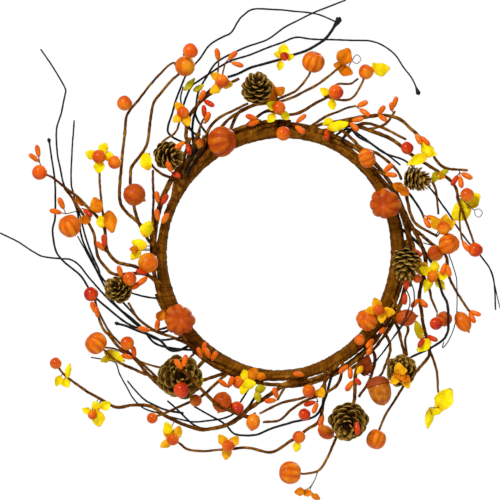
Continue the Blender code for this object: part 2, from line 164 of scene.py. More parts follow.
@dataclass(frozen=True)
class Finish:
    """A surface in three tones of one colour, with patches, a fine grain and a second colour.

    A mesh's attribute for wear and shade moves the tone. On the ring, the stems, the pumpkins and the
    gourds it is low in grooves and dips, as painted shade, and high on crests, as painted highlight, and
    the ring's front is lighter than its back, as painted light; elsewhere it sets the piece's own tone.
    The attribute for the second colour says where that colour lies: sprayed red on berries and pips,
    dye at petal bases, towards a gourd's narrow ends, a painted highlight on pumpkin lobes, and painted
    shade inside pine cones and in the dips of petals.
    """

    name: str
    dark: str
    base: str
    light: str
    blush: str
    patch: float = 9.0  # mm across a patch of one tone
    grain: float = 1.6  # mm across a grain
    relief: float = 0.25  # mm from the grain's top to its bottom
    roughness: float = 0.5
    spread: float = 0.12  # how far the grain moves the roughness
    specular: float = 0.5
    metallic: float = 0.0
    coat: float = 0.0
    coat_roughness: float = 0.12
    mottle: float = 0.5  # share of the tone that comes from patches, the rest from the mesh's attribute for wear and painted shade

    def grain_height(self, tree: bpy.types.NodeTree, place: bpy.types.NodeSocket) -> bpy.types.NodeSocket:
        """The height that the grain gives the surface, from 0 to 1."""
        return add_node(tree, "TexNoise", {"Vector": place, "Scale": 1 / (self.grain * MM), "Detail": 4.0,
                                           "Roughness": 0.6}).outputs[0]

    def tone(self, tree: bpy.types.NodeTree, place: bpy.types.NodeSocket) -> bpy.types.NodeSocket:
        """The tone of the surface, from 0 for dark to 1 for light.

        Args:
            tree: The material's node tree.
            place: The node socket with the surface's coordinates.

        Returns:
            The socket that gives the tone.
        """
        patches = add_node(tree, "TexNoise", {"Vector": place, "Scale": 1 / (self.patch * MM), "Detail": 5.0,
                                              "Roughness": 0.62})
        worn = add_node(tree, "Attribute", attribute_name="worn")
        scaled = add_node(tree, "MapRange", {0: patches.outputs[0], 1: 0.3, 2: 0.7})
        mixed = add_node(tree, "Mix", {0: self.mottle, 2: worn.outputs["Fac"], 3: scaled.outputs[0]})
        return mixed.outputs[0]

    def material(self) -> bpy.types.Material:
        """Builds the material once, and returns it.

        Returns:
            The material.
        """
        found = bpy.data.materials.get(self.name)
        if found:
            return found
        made = bpy.data.materials.new(self.name)
        made.use_nodes = True
        tree = made.node_tree
        shader = tree.nodes["Principled BSDF"]
        place = add_node(tree, "TexCoord").outputs["Object"]
        tone = self.tone(tree, place)
        color = add_node(tree, "ValToRGB", {0: tone},
                         [(0.05, self.dark), (0.5, self.base), (0.95, self.light)])
        blush = add_node(tree, "Attribute", attribute_name="blush")
        mixed = add_node(tree, "Mix", {0: blush.outputs["Fac"], 6: color.outputs[0], 7: linear(self.blush)},
                         data_type="RGBA")
        height = self.grain_height(tree, place)
        bump = add_node(tree, "Bump", {"Height": height, "Distance": self.relief * MM, "Strength": 1.0})
        rough = add_node(tree, "MapRange", {0: height, 3: self.roughness + self.spread,
                                            4: max(self.roughness - self.spread, 0.05)})
        tree.links.new(mixed.outputs[2], shader.inputs["Base Color"])
        tree.links.new(bump.outputs[0], shader.inputs["Normal"])
        tree.links.new(rough.outputs[0], shader.inputs["Roughness"])
        shader.inputs["Specular IOR Level"].default_value = self.specular
        shader.inputs["Metallic"].default_value = self.metallic
        shader.inputs["Coat Weight"].default_value = self.coat
        shader.inputs["Coat Roughness"].default_value = self.coat_roughness
        return made


@dataclass(frozen=True)
class WoundPaper(Finish):
    """Crepe paper tape wound round a bundle: slanting edges with a darker line in the step at each turn, as
    painted shade, and fine creases across the tape.
    """

    pitch: float = 8.0  # mm along the stem for each turn of the tape
    edge: float = 0.3  # how much darker the line of painted shade is in the step where a turn ends
    crease: float = 1.1  # mm between creases. Real ones are 0.4 mm, too fine to show, so they're coarser

    def winding(self, tree: bpy.types.NodeTree) -> tuple[bpy.types.NodeSocket, bpy.types.NodeSocket]:
        """Where a point is on the tape.

        Args:
            tree: The material's node tree.

        Returns:
            The share of the way across the tape's width, and the winding's own coordinates.
        """
        wound = add_node(tree, "UVMap", uv_map="wound").outputs[0]
        parts = add_node(tree, "SeparateXYZ", {0: wound})
        along = add_node(tree, "Math", {0: parts.outputs[1], 1: 1 / self.pitch}, operation="MULTIPLY")
        turned = add_node(tree, "Math", {0: along.outputs[0], 1: parts.outputs[0]}, operation="ADD")
        across = add_node(tree, "Math", {0: turned.outputs[0]}, operation="FRACT")
        return across.outputs[0], wound

    def grain_height(self, tree: bpy.types.NodeTree, place: bpy.types.NodeSocket) -> bpy.types.NodeSocket:
        """Creases that run along the stem, under the step of each turn's edge.

        Args:
            tree: The material's node tree.
            place: The node socket with the surface's coordinates.

        Returns:
            The socket that gives the height.
        """
        across, wound = self.winding(tree)
        stretched = add_node(tree, "VectorMath", {0: wound, 1: (14.0, 1 / (self.crease * 7), 1.0)},
                             operation="MULTIPLY")
        creases = add_node(tree, "TexNoise", {"Vector": stretched.outputs[0], "Scale": 1.0, "Detail": 5.0,
                                              "Roughness": 0.7})
        specks = add_node(tree, "TexNoise", {"Vector": place, "Scale": 1 / (self.grain * MM), "Detail": 3.0})
        both = add_node(tree, "Mix", {0: 0.4, 2: creases.outputs[0], 3: specks.outputs[0]})
        edge = add_node(tree, "MapRange", {0: across, 1: 0.0, 2: 0.12, 3: -0.9, 4: 0.0})
        return add_node(tree, "Math", {0: both.outputs[0], 1: edge.outputs[0]}, operation="ADD").outputs[0]

    def tone(self, tree: bpy.types.NodeTree, place: bpy.types.NodeSocket) -> bpy.types.NodeSocket:
        """Patches and the mesh's tone, with a dark line of painted shade in the step where a turn of the tape
        ends.

        Args:
            tree: The material's node tree.
            place: The node socket with the surface's coordinates.

        Returns:
            The socket that gives the tone.
        """
        plain = super().tone(tree, place)
        across, _ = self.winding(tree)
        # The darker line in the step at each turn's edge is painted shade.
        line = add_node(tree, "MapRange", {0: across, 1: 0.0, 2: 0.2, 3: -self.edge, 4: 0.0})
        return add_node(tree, "Math", {0: plain, 1: line.outputs[0]}, operation="ADD").outputs[0]


@dataclass(frozen=True)
class WovenCloth(Finish):
    """Dyed cloth petals: two sets of crossing threads, quite matt."""

    patch: float = 7.0
    relief: float = 0.1
    roughness: float = 0.8
    spread: float = 0.05
    specular: float = 0.1
    thread: float = 0.9  # mm between threads. Real ones are 0.3 mm, too fine to show, so they're coarser
    bands: float = 0.314  # the wave texture's scale for one band in each unit of length

    def grain_height(self, tree: bpy.types.NodeTree, place: bpy.types.NodeSocket) -> bpy.types.NodeSocket:
        """The crests of two sets of threads.

        Args:
            tree: The material's node tree.
            place: The node socket with the surface's coordinates.

        Returns:
            The socket that gives the height.
        """
        weft, warp = (add_node(tree, "TexWave", {"Vector": place, "Scale": self.bands / (self.thread * MM),
                                                 "Distortion": 1.2, "Detail": 1.0}, bands_direction=way)
                      for way in ("X", "Z"))
        return add_node(tree, "Math", {0: weft.outputs["Fac"], 1: warp.outputs["Fac"]},
                        operation="MAXIMUM").outputs[0]


@dataclass(frozen=True)
class PaintedFoam(Finish):
    """Carved foam under brushed paint: small open cells. Pumpkins and gourds darken its grooves as painted shade.
    """

    cell: float = 1.3  # mm across a cell. Real ones are 0.6 mm, too fine to show, so they're coarser

    def grain_height(self, tree: bpy.types.NodeTree, place: bpy.types.NodeSocket) -> bpy.types.NodeSocket:
        """Rounded cells with a little brush texture over them.

        Args:
            tree: The material's node tree.
            place: The node socket with the surface's coordinates.

        Returns:
            The socket that gives the height.
        """
        cells = add_node(tree, "TexVoronoi", {"Vector": place, "Scale": 1 / (self.cell * MM)},
                         feature="SMOOTH_F1")
        brushed = super().grain_height(tree, place)
        return add_node(tree, "Mix", {0: 0.55, 2: cells.outputs["Distance"], 3: brushed}).outputs[0]


# Crepe florist's tape in olive brown: matt paper that shows its winding and creases.
RING_TAPE = WoundPaper("olive_brown_crepe_tape", "2a1100", "613400", "8c580c", "200c00", patch=10, grain=1.2,
                       relief=0.7, roughness=0.85, spread=0.08, specular=0.06, mottle=0.4, edge=0.1)
# The same tape wound tighter on the twigs: browner, paler on the lumps and darker between them, as painted
# highlight and painted shade.
TWIG_TAPE = WoundPaper("brown_twig_tape", "240c00", "6a3a02", "aa741e", "321200", patch=12, grain=1.0,
                       relief=0.35, roughness=0.8, spread=0.1, specular=0.06, mottle=0.6, pitch=6.0,
                       crease=0.9)
# Waxed black paper cord: nearly black, with a brown bloom, paler on its knuckles as a painted highlight, and a
# faint real shine.
VINE_CORD = Finish("waxed_black_vine_cord", "010100", "080602", "1c1606", "2c1c08", patch=9, grain=1.0,
                   relief=0.2, roughness=0.55, spread=0.12, specular=0.2, mottle=0.7)
# Annealed florist's wire: thin and grey brown, brushed by handling.
BARE_WIRE = Finish("annealed_florist_wire", "3a3026", "6a5a44", "9a8a6c", "6a5a44", patch=5, grain=0.6,
                   relief=0.05, roughness=0.42, metallic=0.9)
# Foam pumpkins under satin paint: darker in the grooves as painted shade, and a yellow on the lobes' crests as a
# painted highlight.
PUMPKIN_PAINT = PaintedFoam("satin_orange_painted_foam", "a03c00", "d25c00", "ec8004", "f2a012", patch=8,
                            grain=1.8, relief=0.1, roughness=0.38, specular=0.1, coat=0.07, mottle=0.35)
# The same in a darker rust, a little duller.
RUST_PAINT = PaintedFoam("rust_painted_foam", "742200", "b04200", "d06204", "da8410", patch=9,
                         grain=1.8, relief=0.12, roughness=0.42, specular=0.1, coat=0.05, mottle=0.4)
# Lacquered foam berries: a warm gloss, with the red sprayed on from one side.
GLOSS = {"patch": 7, "grain": 1.4, "relief": 0.05, "roughness": 0.3, "spread": 0.06, "specular": 0.12,
         "mottle": 0.6}
BERRY_LACQUER = PaintedFoam("orange_lacquered_berry", "c84a00", "de6c00", "ee9410", "c43a00", coat=0.14,
                            **GLOSS)
RED_LACQUER = PaintedFoam("red_lacquered_berry", "b83400", "de5400", "f0800c", "b42400", coat=0.14, **GLOSS)
# A deeper crimson for the reddest berries.
CRIMSON_LACQUER = PaintedFoam("crimson_lacquered_berry", "9a1c00", "ca3600", "e4600c", "a41200", coat=0.18,
                              **GLOSS)
# Dipped seed pips: orange with a red sprayed end, smooth and glossy.
DIPPED = {"patch": 5, "grain": 1.0, "relief": 0.05, "roughness": 0.32, "spread": 0.06, "specular": 0.12,
          "coat": 0.1, "mottle": 0.6}
PIP_LACQUER = Finish("orange_dipped_pip", "d25200", "e46c00", "f2960e", "d22600", **DIPPED)
RED_PIP_LACQUER = Finish("red_dipped_pip", "981400", "cc3400", "e25c08", "8c0e00", **DIPPED)
# Dyed cotton petals, stiffened: bright, matt, darker orange where the wire grips them, and darker in the dips of
# their crumples as painted shade.
PETAL_CLOTH = {
    Tone.YELLOW: WovenCloth("yellow_dyed_cotton", "deba00", "f2de00", "fcf23c", "e09200"),
    Tone.GOLD: WovenCloth("golden_dyed_cotton", "cc8000", "eeae06", "fac828", "c06000"),
    Tone.OLIVE: WovenCloth("olive_dyed_cotton", "8c7c00", "bcae0a", "dcd236", "7c6400"),
    Tone.ORANGE: WovenCloth("orange_dyed_cotton", "a84a00", "d87400", "ec9a1a", "943c00"),
    Tone.RUST: WovenCloth("rust_dyed_cotton", "521400", "863202", "ae5410", "3c1000"),
}
# Pine cone scales: near black towards their bases and in the core, as painted shade deep in the cone; weathered
# tan on their thick outer edges.
CONE_SCALE = Finish("weathered_pine_scale", "180700", "5e3c04", "c49c46", "080200", patch=4, grain=0.9,
                    relief=0.3, roughness=0.75, spread=0.1, specular=0.08, mottle=0.25)
# A varnished acorn: amber nut with darker streaks, and a knobbly rust cap.
ACORN_NUT = Finish("varnished_acorn_nut", "863400", "b05a00", "cc840c", "742a00", patch=5, grain=1.4,
                   relief=0.08, roughness=0.32, specular=0.15, coat=0.14, mottle=0.7)
ACORN_CAP = Finish("rust_acorn_cap", "5e1a00", "963a02", "b85a0a", "521600", patch=4, grain=1.0,
                   relief=0.3, roughness=0.6, specular=0.2, mottle=0.4)
# Plain matt paint on the floor: it sets the wreath off and catches its soft shadow.
FLOOR_PAINT = Finish("pale_floor_paint", "eae9e7", "eeedeb", "f2f1ef", "eeedeb", patch=160, grain=3,
                     relief=0.05, roughness=0.6, mottle=1.0)

BARKS = {Bark.TWIG: TWIG_TAPE, Bark.VINE: VINE_CORD, Bark.WIRE: BARE_WIRE}
LUMPS = {Bark.TWIG: 0.17, Bark.VINE: 0.1, Bark.WIRE: 0.03}  # height of the lumps over the stem's radius
PAINTS = {"pumpkin_orange": PUMPKIN_PAINT, "pumpkin_rust": RUST_PAINT, "berry_orange": BERRY_LACQUER,
          "berry_red": RED_LACQUER, "cone_brown": CONE_SCALE, "acorn_brown": ACORN_NUT}


# ---------------------------------------------------------------- meshes


def unit(vectors: np.ndarray) -> np.ndarray:
    """The vectors at length one."""
    return vectors / np.maximum(np.linalg.norm(vectors, axis=-1, keepdims=True), 1e-9)


def ripple(points: np.ndarray, wavelength: float, seed: int) -> np.ndarray:
    """A smooth random height at each point, mostly within -1 to 1.

    Args:
        points: Places in millimetres, in the last axis.
        wavelength: The usual size of a bump in millimetres.
        seed: Which random surface this is.

    Returns:
        One height for each point.
    """
    rng = np.random.default_rng(seed)
    total = np.zeros(points.shape[:-1])
    for _ in range(6):
        way = unit(rng.normal(size=3)) * ROUND / (wavelength * rng.uniform(0.7, 1.6))
        total += np.sin(points @ way + rng.uniform(0, ROUND))
    return total / 3


def carried_frames(points: np.ndarray) -> tuple[np.ndarray, np.ndarray, np.ndarray]:
    """Directions along and across a path that don't twist.

    Args:
        points: The path, one row for each point.

    Returns:
        The tangents and two sets of normals.
    """
    tangents = unit(np.gradient(points, axis=0))
    start = np.array((0.0, 1.0, 0.0)) if abs(tangents[0][1]) < 0.9 else np.array((1.0, 0.0, 0.0))
    sides = []
    for tangent in tangents:
        start = unit(start - tangent * (start @ tangent))
        sides.append(start)
    first = np.array(sides)
    return tangents, first, np.cross(tangents, first)


def curve_through(points: Sequence[Vector], step: float, approach: Vector | None = None) -> np.ndarray:
    """Points on a Catmull-Rom curve through the given ones, about step apart.

    Args:
        points: The places that it passes through.
        step: About how far apart its points are.
        approach: A place before the first one, which sets how it starts out.

    Returns:
        One row for each point.
    """
    padded = [approach or 2 * points[0] - points[1], *points, 2 * points[-1] - points[-2]]
    route = [points[0]]
    for before, start, end, after in zip(padded, padded[1:], padded[2:], padded[3:]):
        count = max(2, round((end - start).length / step))
        for index in range(1, count + 1):
            t = index / count
            route.append(0.5 * (2 * start + (end - before) * t
                                + (2 * before - 5 * start + 4 * end - after) * t**2
                                + (3 * start - before - 3 * end + after) * t**3))
    return np.array([tuple(point) for point in route])


class Draft:
    """A mesh in millimetres, put together from closed lofted shells."""

    def __init__(self) -> None:
        """Starts with nothing in it."""
        self.points: list[np.ndarray] = []
        self.faces: list[tuple[int, ...]] = []
        self.wound: list[tuple[float, float]] = []
        self.slots: list[int] = []
        self.worn: list[np.ndarray] = []
        self.blush: list[np.ndarray] = []
        self.count = 0

    def loft(self, rows: np.ndarray, worn: np.ndarray | float = 0.5, blush: np.ndarray | float = 0.0,
             slot: int = 0, ring: bool = False, length: float | None = None) -> None:
        """Adds a shell through closed sections, with a point at each end unless it closes on itself.

        Args:
            rows: Sections of points, (sections, points in a section, 3).
            worn: Tone at each point, real wear on some pieces and painted shade and highlight on others, or one
                value.
            blush: Second colour at each point, painted shade and highlight on some pieces, or one value.
            slot: Which of the piece's materials it has.
            ring: The last section joins the first.
            length: Millimetres along the shell, for its winding.
        """
        count, around = rows.shape[:2]
        steps = np.linalg.norm(np.diff(rows.mean(axis=1), axis=0), axis=1)
        along = np.concatenate([[0.0], np.cumsum(steps)])
        if length:
            along = along * length / along[-1]
        marks = [np.broadcast_to(np.asarray(mark, float), rows.shape[:2]) for mark in (worn, blush)]
        bands = [(i, (i + 1) % count) for i in range(count if ring else count - 1)]
        quads, turns = [], []
        seam = [(j, (j + 1) % around, j / around, (j + 1) / around) for j in range(around)]
        for low, high in bands:
            top = along[high] if high else (length or along[-1] + steps[-1])
            for j, k, u, v in seam:
                quads.append((low * around + j, low * around + k, high * around + k, high * around + j))
                turns.append(((u, along[low]), (v, along[low]), (v, top), (u, top)))
        flat = rows.reshape(-1, 3)
        extra = []
        if not ring:
            extra = [rows[0].mean(axis=0), rows[-1].mean(axis=0)]
            foot, head = len(flat), len(flat) + 1
            last = (count - 1) * around
            for j, k, u, v in seam:
                quads += [(k, j, foot), (last + j, last + k, head)]
                turns += [((v, 0.0), (u, 0.0), (u, 0.0)), ((u, along[-1]), (v, along[-1]), (u, along[-1]))]
            flat = np.vstack([flat, extra])
        corners = (flat - flat.mean(axis=0))[np.array([face[:3] for face in quads])]
        volume = np.einsum("ij,ij->i", corners[:, 0], np.cross(corners[:, 1], corners[:, 2])).sum()
        for face, turn in zip(quads, turns):
            if volume < 0:
                face, turn = face[::-1], turn[::-1]
            self.faces.append(tuple(self.count + index for index in face))
            self.wound.extend(turn)
            self.slots.append(slot)
        for mark, store in zip(marks, (self.worn, self.blush)):
            ends = [mark[0].mean(), mark[-1].mean()] if extra else []
            store.append(np.concatenate([mark.reshape(-1), ends]))
        self.points.append(flat)
        self.count += len(flat)

    def tube(self, path: np.ndarray, radius: np.ndarray | float, sides: int = 8,
             worn: np.ndarray | float = 0.5, slot: int = 0) -> None:
        """Adds a round tube with domed ends.

        Args:
            path: The centreline in millimetres.
            radius: One radius, one for each point, or one for each point and side.
            sides: Points round the tube.
            worn: Tone with wear and painted shade, as for loft, at each point, or at each point and side, or one
                value.
            slot: Which of the piece's materials it has.
        """
        tangents, side, up = carried_frames(path)
        angle = np.arange(sides) * ROUND / sides
        reach = np.asarray(radius, float)
        reach = np.broadcast_to(reach[:, None] if reach.ndim == 1 else reach, (len(path), sides))
        rows = path[:, None, :] + reach[..., None] * (np.cos(angle)[None, :, None] * side[:, None, :]
                                                      + np.sin(angle)[None, :, None] * up[:, None, :])
        ends = []
        for index, sign in ((0, -1), (-1, 1)):
            middle = path[index]
            out = tangents[index] * sign * reach[index].mean() * 0.5
            ends.append((middle + (rows[index] - middle) * 0.6 + out)[None])
        if np.ndim(worn):
            mark = np.reshape(worn, (len(path), -1))
            worn = np.vstack([mark[:1], mark, mark[-1:]])
        self.loft(np.vstack([ends[0], rows, ends[1]]), worn, slot=slot)

    def turned(self, outline: np.ndarray, place: Vector, axis: Vector, sides: int,
               shape: np.ndarray | None = None, worn: np.ndarray | float = 0.5,
               blush: np.ndarray | float = 0.0, slot: int = 0) -> None:
        """Adds a shell turned round an axis.

        Args:
            outline: Radius and height of each section, from the wire end to the tip.
            place: The centre in millimetres.
            axis: From the wire end to the tip.
            sides: Points round a section.
            shape: Share of the radius for each section and side.
            worn: Tone with wear and painted shade, as for loft.
            blush: Second colour and painted light, as for loft.
            slot: Which of the piece's materials it has.
        """
        angle = np.arange(sides) * ROUND / sides
        reach = outline[:, 0:1] * (np.ones((1, sides)) if shape is None else shape)
        local = np.stack([reach * np.cos(angle), reach * np.sin(angle),
                          np.broadcast_to(outline[:, 1:2], reach.shape)], axis=-1)
        turn = np.array(axis.to_track_quat("Z", "Y").to_matrix())
        self.loft(local @ turn.T + np.array(place), worn, blush, slot)

    def piece(self, name: str, finishes: Sequence[Finish], body: str | None,
              replaces: Iterable[str] = ()) -> bpy.types.Object:
        """Makes the object in metres, dresses it, and hangs it on its body.

        Args:
            name: The piece's name.
            finishes: Its materials, in the order of their slots.
            body: The CAD body it rides on, or None to leave it on no body.
            replaces: CAD nodes it stands for.

        Returns:
            The new object.
        """
        mesh = bpy.data.meshes.new(name)
        mesh.from_pydata((np.vstack(self.points) * MM).tolist(), [], self.faces)
        layer = mesh.uv_layers.new(name="wound")
        layer.data.foreach_set("uv", np.array(self.wound, np.float32).ravel())
        for mark, values in (("worn", self.worn), ("blush", self.blush)):
            attribute = mesh.attributes.new(mark, "FLOAT", "POINT")
            attribute.data.foreach_set("value", np.clip(np.concatenate(values), 0, 1).astype(np.float32))
        for finish in finishes:
            mesh.materials.append(finish.material())
        mesh.polygons.foreach_set("material_index", np.array(self.slots, np.int32))
        mesh.shade_smooth()
        mesh.update()
        thing = bpy.data.objects.new(name, mesh)
        bpy.context.scene.collection.objects.link(thing)
        if replaces:
            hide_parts(*replaces)
        if body:
            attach(thing, body)
        LOG.info("%s: %d faces, on %s", name, len(self.faces), body or "two bodies")
        return thing


# ---------------------------------------------------------------- the ring


@dataclass
class TapedRing:
    """A wire hoop with stem ends bundled round it, all under wound crepe tape."""

    hoop_radius: float = 108.0
    tape_radius: float = 6.5
    half_width: float = 5.2  # mm from the middle of the tape to its side, without its swells
    swells: tuple = ((0.5, 1, 110.0), (0.8, 3, 110.0))  # mm, times round the hoop, clock of a peak
    drifts: tuple = ((2.0, 2, 15.0), (-1.2, 1, 105.0))  # the same, for how far it lies outwards of the hoop
    stems: int = 7  # stem ends that stand out under the tape
    pitch: float = 8.0  # mm along the hoop for each turn of the tape
    edge_share: float = 0.1  # share of a turn's width that the step at its edge takes up
    rows: int = 1100
    sides: int = 40
    centre: Vector = field(init=False)

    def __post_init__(self) -> None:
        """Finds the hoop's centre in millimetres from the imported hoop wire."""
        low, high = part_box("hoop_wire")
        self.centre = (low + high) / 2 / MM

    def point(self, clock: float, outward: float = 0.0, forward: float = 0.0) -> Vector:
        """A point in millimetres at a clock angle, moved outwards and to the front."""
        angle, reach = math.radians(clock), self.hoop_radius + outward
        return self.centre + Vector((reach * math.sin(angle), -forward, reach * math.cos(angle)))

    def hang(self, x: float, z: float, forward: float) -> Vector:
        """A point in millimetres from its place round the hoop's centre."""
        return self.centre + Vector((x, -forward, z))

    @staticmethod
    def waves(clock: np.ndarray, terms: tuple) -> np.ndarray:
        """A sum of cosines round the hoop, each given as its size, times round and the clock of a peak."""
        return sum(size * np.cos(times * (clock - math.radians(peak))) for size, times, peak in terms)

    def build(self) -> None:
        """Builds the taped ring, and finishes the hoop wire inside it."""
        clock = np.arange(self.rows) * ROUND / self.rows
        section = np.arange(self.sides) * ROUND / self.sides
        arc = clock * self.hoop_radius
        turns = round(ROUND * self.hoop_radius / self.pitch)
        outwards = np.stack([np.sin(clock), 0 * clock, np.cos(clock)], -1)
        places = np.stack([np.sin(clock) * self.hoop_radius, 0 * clock, np.cos(clock) * self.hoop_radius], -1)
        across = (clock[:, None] * turns / ROUND + section[None, :] / ROUND) % 1.0
        across = (across + 0.4 * ripple(places, 22, 8)[:, None]) % 1.0
        half = self.half_width + self.waves(clock, self.swells) + 0.3 * ripple(places, 50, 3)
        drift = self.waves(clock, self.drifts)
        lobes = np.abs(np.cos(self.stems / 2 * (section[None, :] + 0.55 * np.sin(2 * clock)[:, None]
                                                + clock[:, None])))
        step = np.clip(across / self.edge_share, 0, 1) ** 0.6 * (1 - 0.7 * across)
        surface = places[:, None, :] + np.stack([np.cos(section), np.sin(section), 0 * section], -1)[None] * 9
        creased = ripple(surface, 3.0, 5) * 0.5 + ripple(surface, 7.0, 6) * 0.5
        detail = 0.6 * lobes + 0.6 * step + 0.35 * creased - 0.6
        radial = (half[:, None] + detail) * np.cos(section) + drift[:, None]
        depth = (self.tape_radius - 0.6 + detail) * np.sin(section)
        rows = (np.array(self.centre) + places[:, None, :]
                + radial[..., None] * outwards[:, None, :] + depth[..., None] * FRONT)
        # Lighter on the stems under the tape, on the raised side of each turn and on crease crests, darker between
        # them: painted highlight and painted shade. The front half is lighter and the back half darker: painted
        # light.
        worn = 0.08 + 0.25 * lobes + 0.35 * step + 0.3 * creased + 0.3 * np.sin(section)
        draft = Draft()
        draft.loft(rows, worn, 0.0, ring=True, length=arc[-1] + arc[1])
        draft.piece("taped_ring", [RING_TAPE], WREATH, ["ring_wrap"])
        frame["nodes"]["hoop_wire"].data.materials[0] = BARE_WIRE.material()


# ---------------------------------------------------------------- stems


@dataclass(frozen=True)
class Stem:
    """A taped or bare stem through given points (x, z, forward), from its root to its tip.

    A rooted stem comes out of the ring's tape at root_clock, at root_seat degrees round its section
    from straight outwards to the front. ends_in names the ornament on its wire.
    """

    name: str
    bark: Bark
    root_radius: float
    tip_radius: float
    route: tuple
    root_clock: float | None = None
    root_seat: float = 0.0
    ends_in: str = ""
    body: str = WREATH
    knob: float = 0.0  # radius of the wax blob at its tip


@dataclass
class StemMaker:
    """Draws stems as wrapped tubes, and knows where every stem runs."""

    ring: TapedRing
    step: float = 1.4  # mm between sections
    sides: int = 8
    clearance: float = 0.3  # mm from the ring's tape to a stem that has come out of it
    wire_radius: float = 0.8  # mm, where a stem goes into its ornament
    bared: float = 6.0  # mm of wire without tape there
    lead: float = 4.0  # straight wire in front of an ornament
    overlap: float = 4.0  # how far a sprig runs back over its twig, under the same tape
    sweep: float = 4.0  # degrees of the ring that a root is taped along
    sunk: float = 0.55  # share of the tape's radius at which a root starts
    thin: float = 0.7  # mm of radius, under which a stem isn't fattened by its tape
    taped: float = 1.2  # how much its tape fattens a stem
    blob: float = 1.5  # mm from the end of a wax blob to its widest
    drawn: float = 2.6  # mm that a blob of one millimetre is drawn out along its vine
    runs: dict[str, list[np.ndarray]] = field(default_factory=dict)  # the stems' lines, for each body

    def root(self, stem: Stem, first: Vector) -> list[Vector]:
        """The taped root: two points under the ring's tape, then where the stem comes clear of it.

        Args:
            stem: The stem.
            first: The first place of its route.

        Returns:
            The three places, from the hidden one.
        """
        seat = math.radians(stem.root_seat)
        stand_off = self.ring.tape_radius + self.clearance + stem.root_radius
        sunk = self.ring.tape_radius * self.sunk

        def at(clock: float, reach: float) -> Vector:
            """A point at a clock angle and a reach from the middle of the tape."""
            return self.ring.point(clock, reach * math.cos(seat), reach * math.sin(seat))

        end = at(stem.root_clock, stand_off)
        angle = math.radians(stem.root_clock)
        along = Vector((math.cos(angle), 0, -math.sin(angle)))
        side = math.copysign(self.sweep, (first - end).dot(along))
        return [at(stem.root_clock - 2.6 * side, sunk), at(stem.root_clock - side, stand_off), end]

    def line(self, stem: Stem, pegs: dict[str, tuple[Vector, Vector]]) -> np.ndarray:
        """The stem's centreline, from under the tape or its given start to its tip or into its ornament.

        Args:
            stem: The stem.
            pegs: For each ornament, the middle of its wire end and its axis.

        Returns:
            One row for each point.
        """
        points = [self.ring.hang(*point) for point in stem.route]
        if stem.ends_in and stem.root_clock is None:
            points.insert(0, points[0] - (points[1] - points[0]).normalized() * self.overlap)
        if stem.root_clock is not None:
            points = [*self.root(stem, points[0]), *points]
        if stem.ends_in:
            mouth, axis = pegs[stem.ends_in]
            points += [mouth - axis * self.lead, mouth + axis * 3.0]
        return curve_through(points, self.step)

    def wander(self, path: np.ndarray, seed: int, reach: float) -> np.ndarray:
        """The path with the small kinks of a hand-bent stem, held at both ends.

        Args:
            path: The centreline in millimetres.
            seed: A steady seed for its irregularities.
            reach: Millimetres that a kink moves it.

        Returns:
            The moved centreline.
        """
        share = np.linspace(0, 1, len(path))
        hold = np.minimum(1, np.minimum(share, 1 - share) * 8)[:, None]
        kinks = np.stack([ripple(path, 26, seed + k) for k in range(3)], -1)
        return path + kinks * hold * reach

    def skin(self, draft: Draft, path: np.ndarray, thick: np.ndarray, seed: int, bark: Bark) -> None:
        """Adds one stem's tube with lumps under its tape.

        Args:
            draft: The mesh that it's added to.
            path: The centreline in millimetres.
            thick: Its radius at each point.
            seed: A steady seed for its irregularities.
            bark: What it's wrapped or dipped in.
        """
        _, side, up = carried_frames(path)
        angle = np.arange(self.sides) * ROUND / self.sides
        rim = path[:, None, :] + 1.5 * (np.cos(angle)[None, :, None] * side[:, None, :]
                                        + np.sin(angle)[None, :, None] * up[:, None, :])
        lumps = ripple(rim, 5.0, seed)
        full = 1.0 if bark is Bark.WIRE or thick[0] < self.thin else self.taped
        reach = thick[:, None] * (full + LUMPS[bark] * lumps)
        # Lighter on the lumps and darker between them, as painted highlight and painted shade; the slow ripple
        # along the stem is the tape's own patchy tone.
        tone = 0.5 + 0.35 * lumps + 0.3 * ripple(path, 30, seed + 9)[:, None]
        draft.tube(path, reach, self.sides, worn=tone)

    def add(self, draft: Draft, stem: Stem, pegs: dict[str, tuple[Vector, Vector]]) -> None:
        """Adds a stem to a draft, and keeps its line for the pieces that sit on it.

        Args:
            draft: The mesh that it's added to.
            stem: The stem.
            pegs: For each ornament, the middle of its wire end and its axis.
        """
        seed = seed_of(stem.name)
        path = self.line(stem, pegs)
        if not stem.ends_in and stem.body == WREATH:
            path = self.wander(path, seed, 0.5)
        share = np.linspace(0, 1, len(path))
        thick = stem.root_radius + (stem.tip_radius - stem.root_radius) * share
        if stem.ends_in:
            thick[-round(self.bared / self.step):] = self.wire_radius
        if stem.knob:
            from_tip = (1 - share) * len(path) * self.step
            past = from_tip - self.blob
            blunt = np.sqrt(np.clip(1 - (past / self.blob) ** 2, 0, 1)) * (past < 0)
            drawn = np.clip(1 - past / (self.drawn * stem.knob**2), 0, 1) * (past >= 0)
            thick = np.maximum(thick, stem.knob * (blunt + drawn))
        self.skin(draft, path, thick, seed, stem.bark)
        self.runs.setdefault(stem.body, []).append(path)

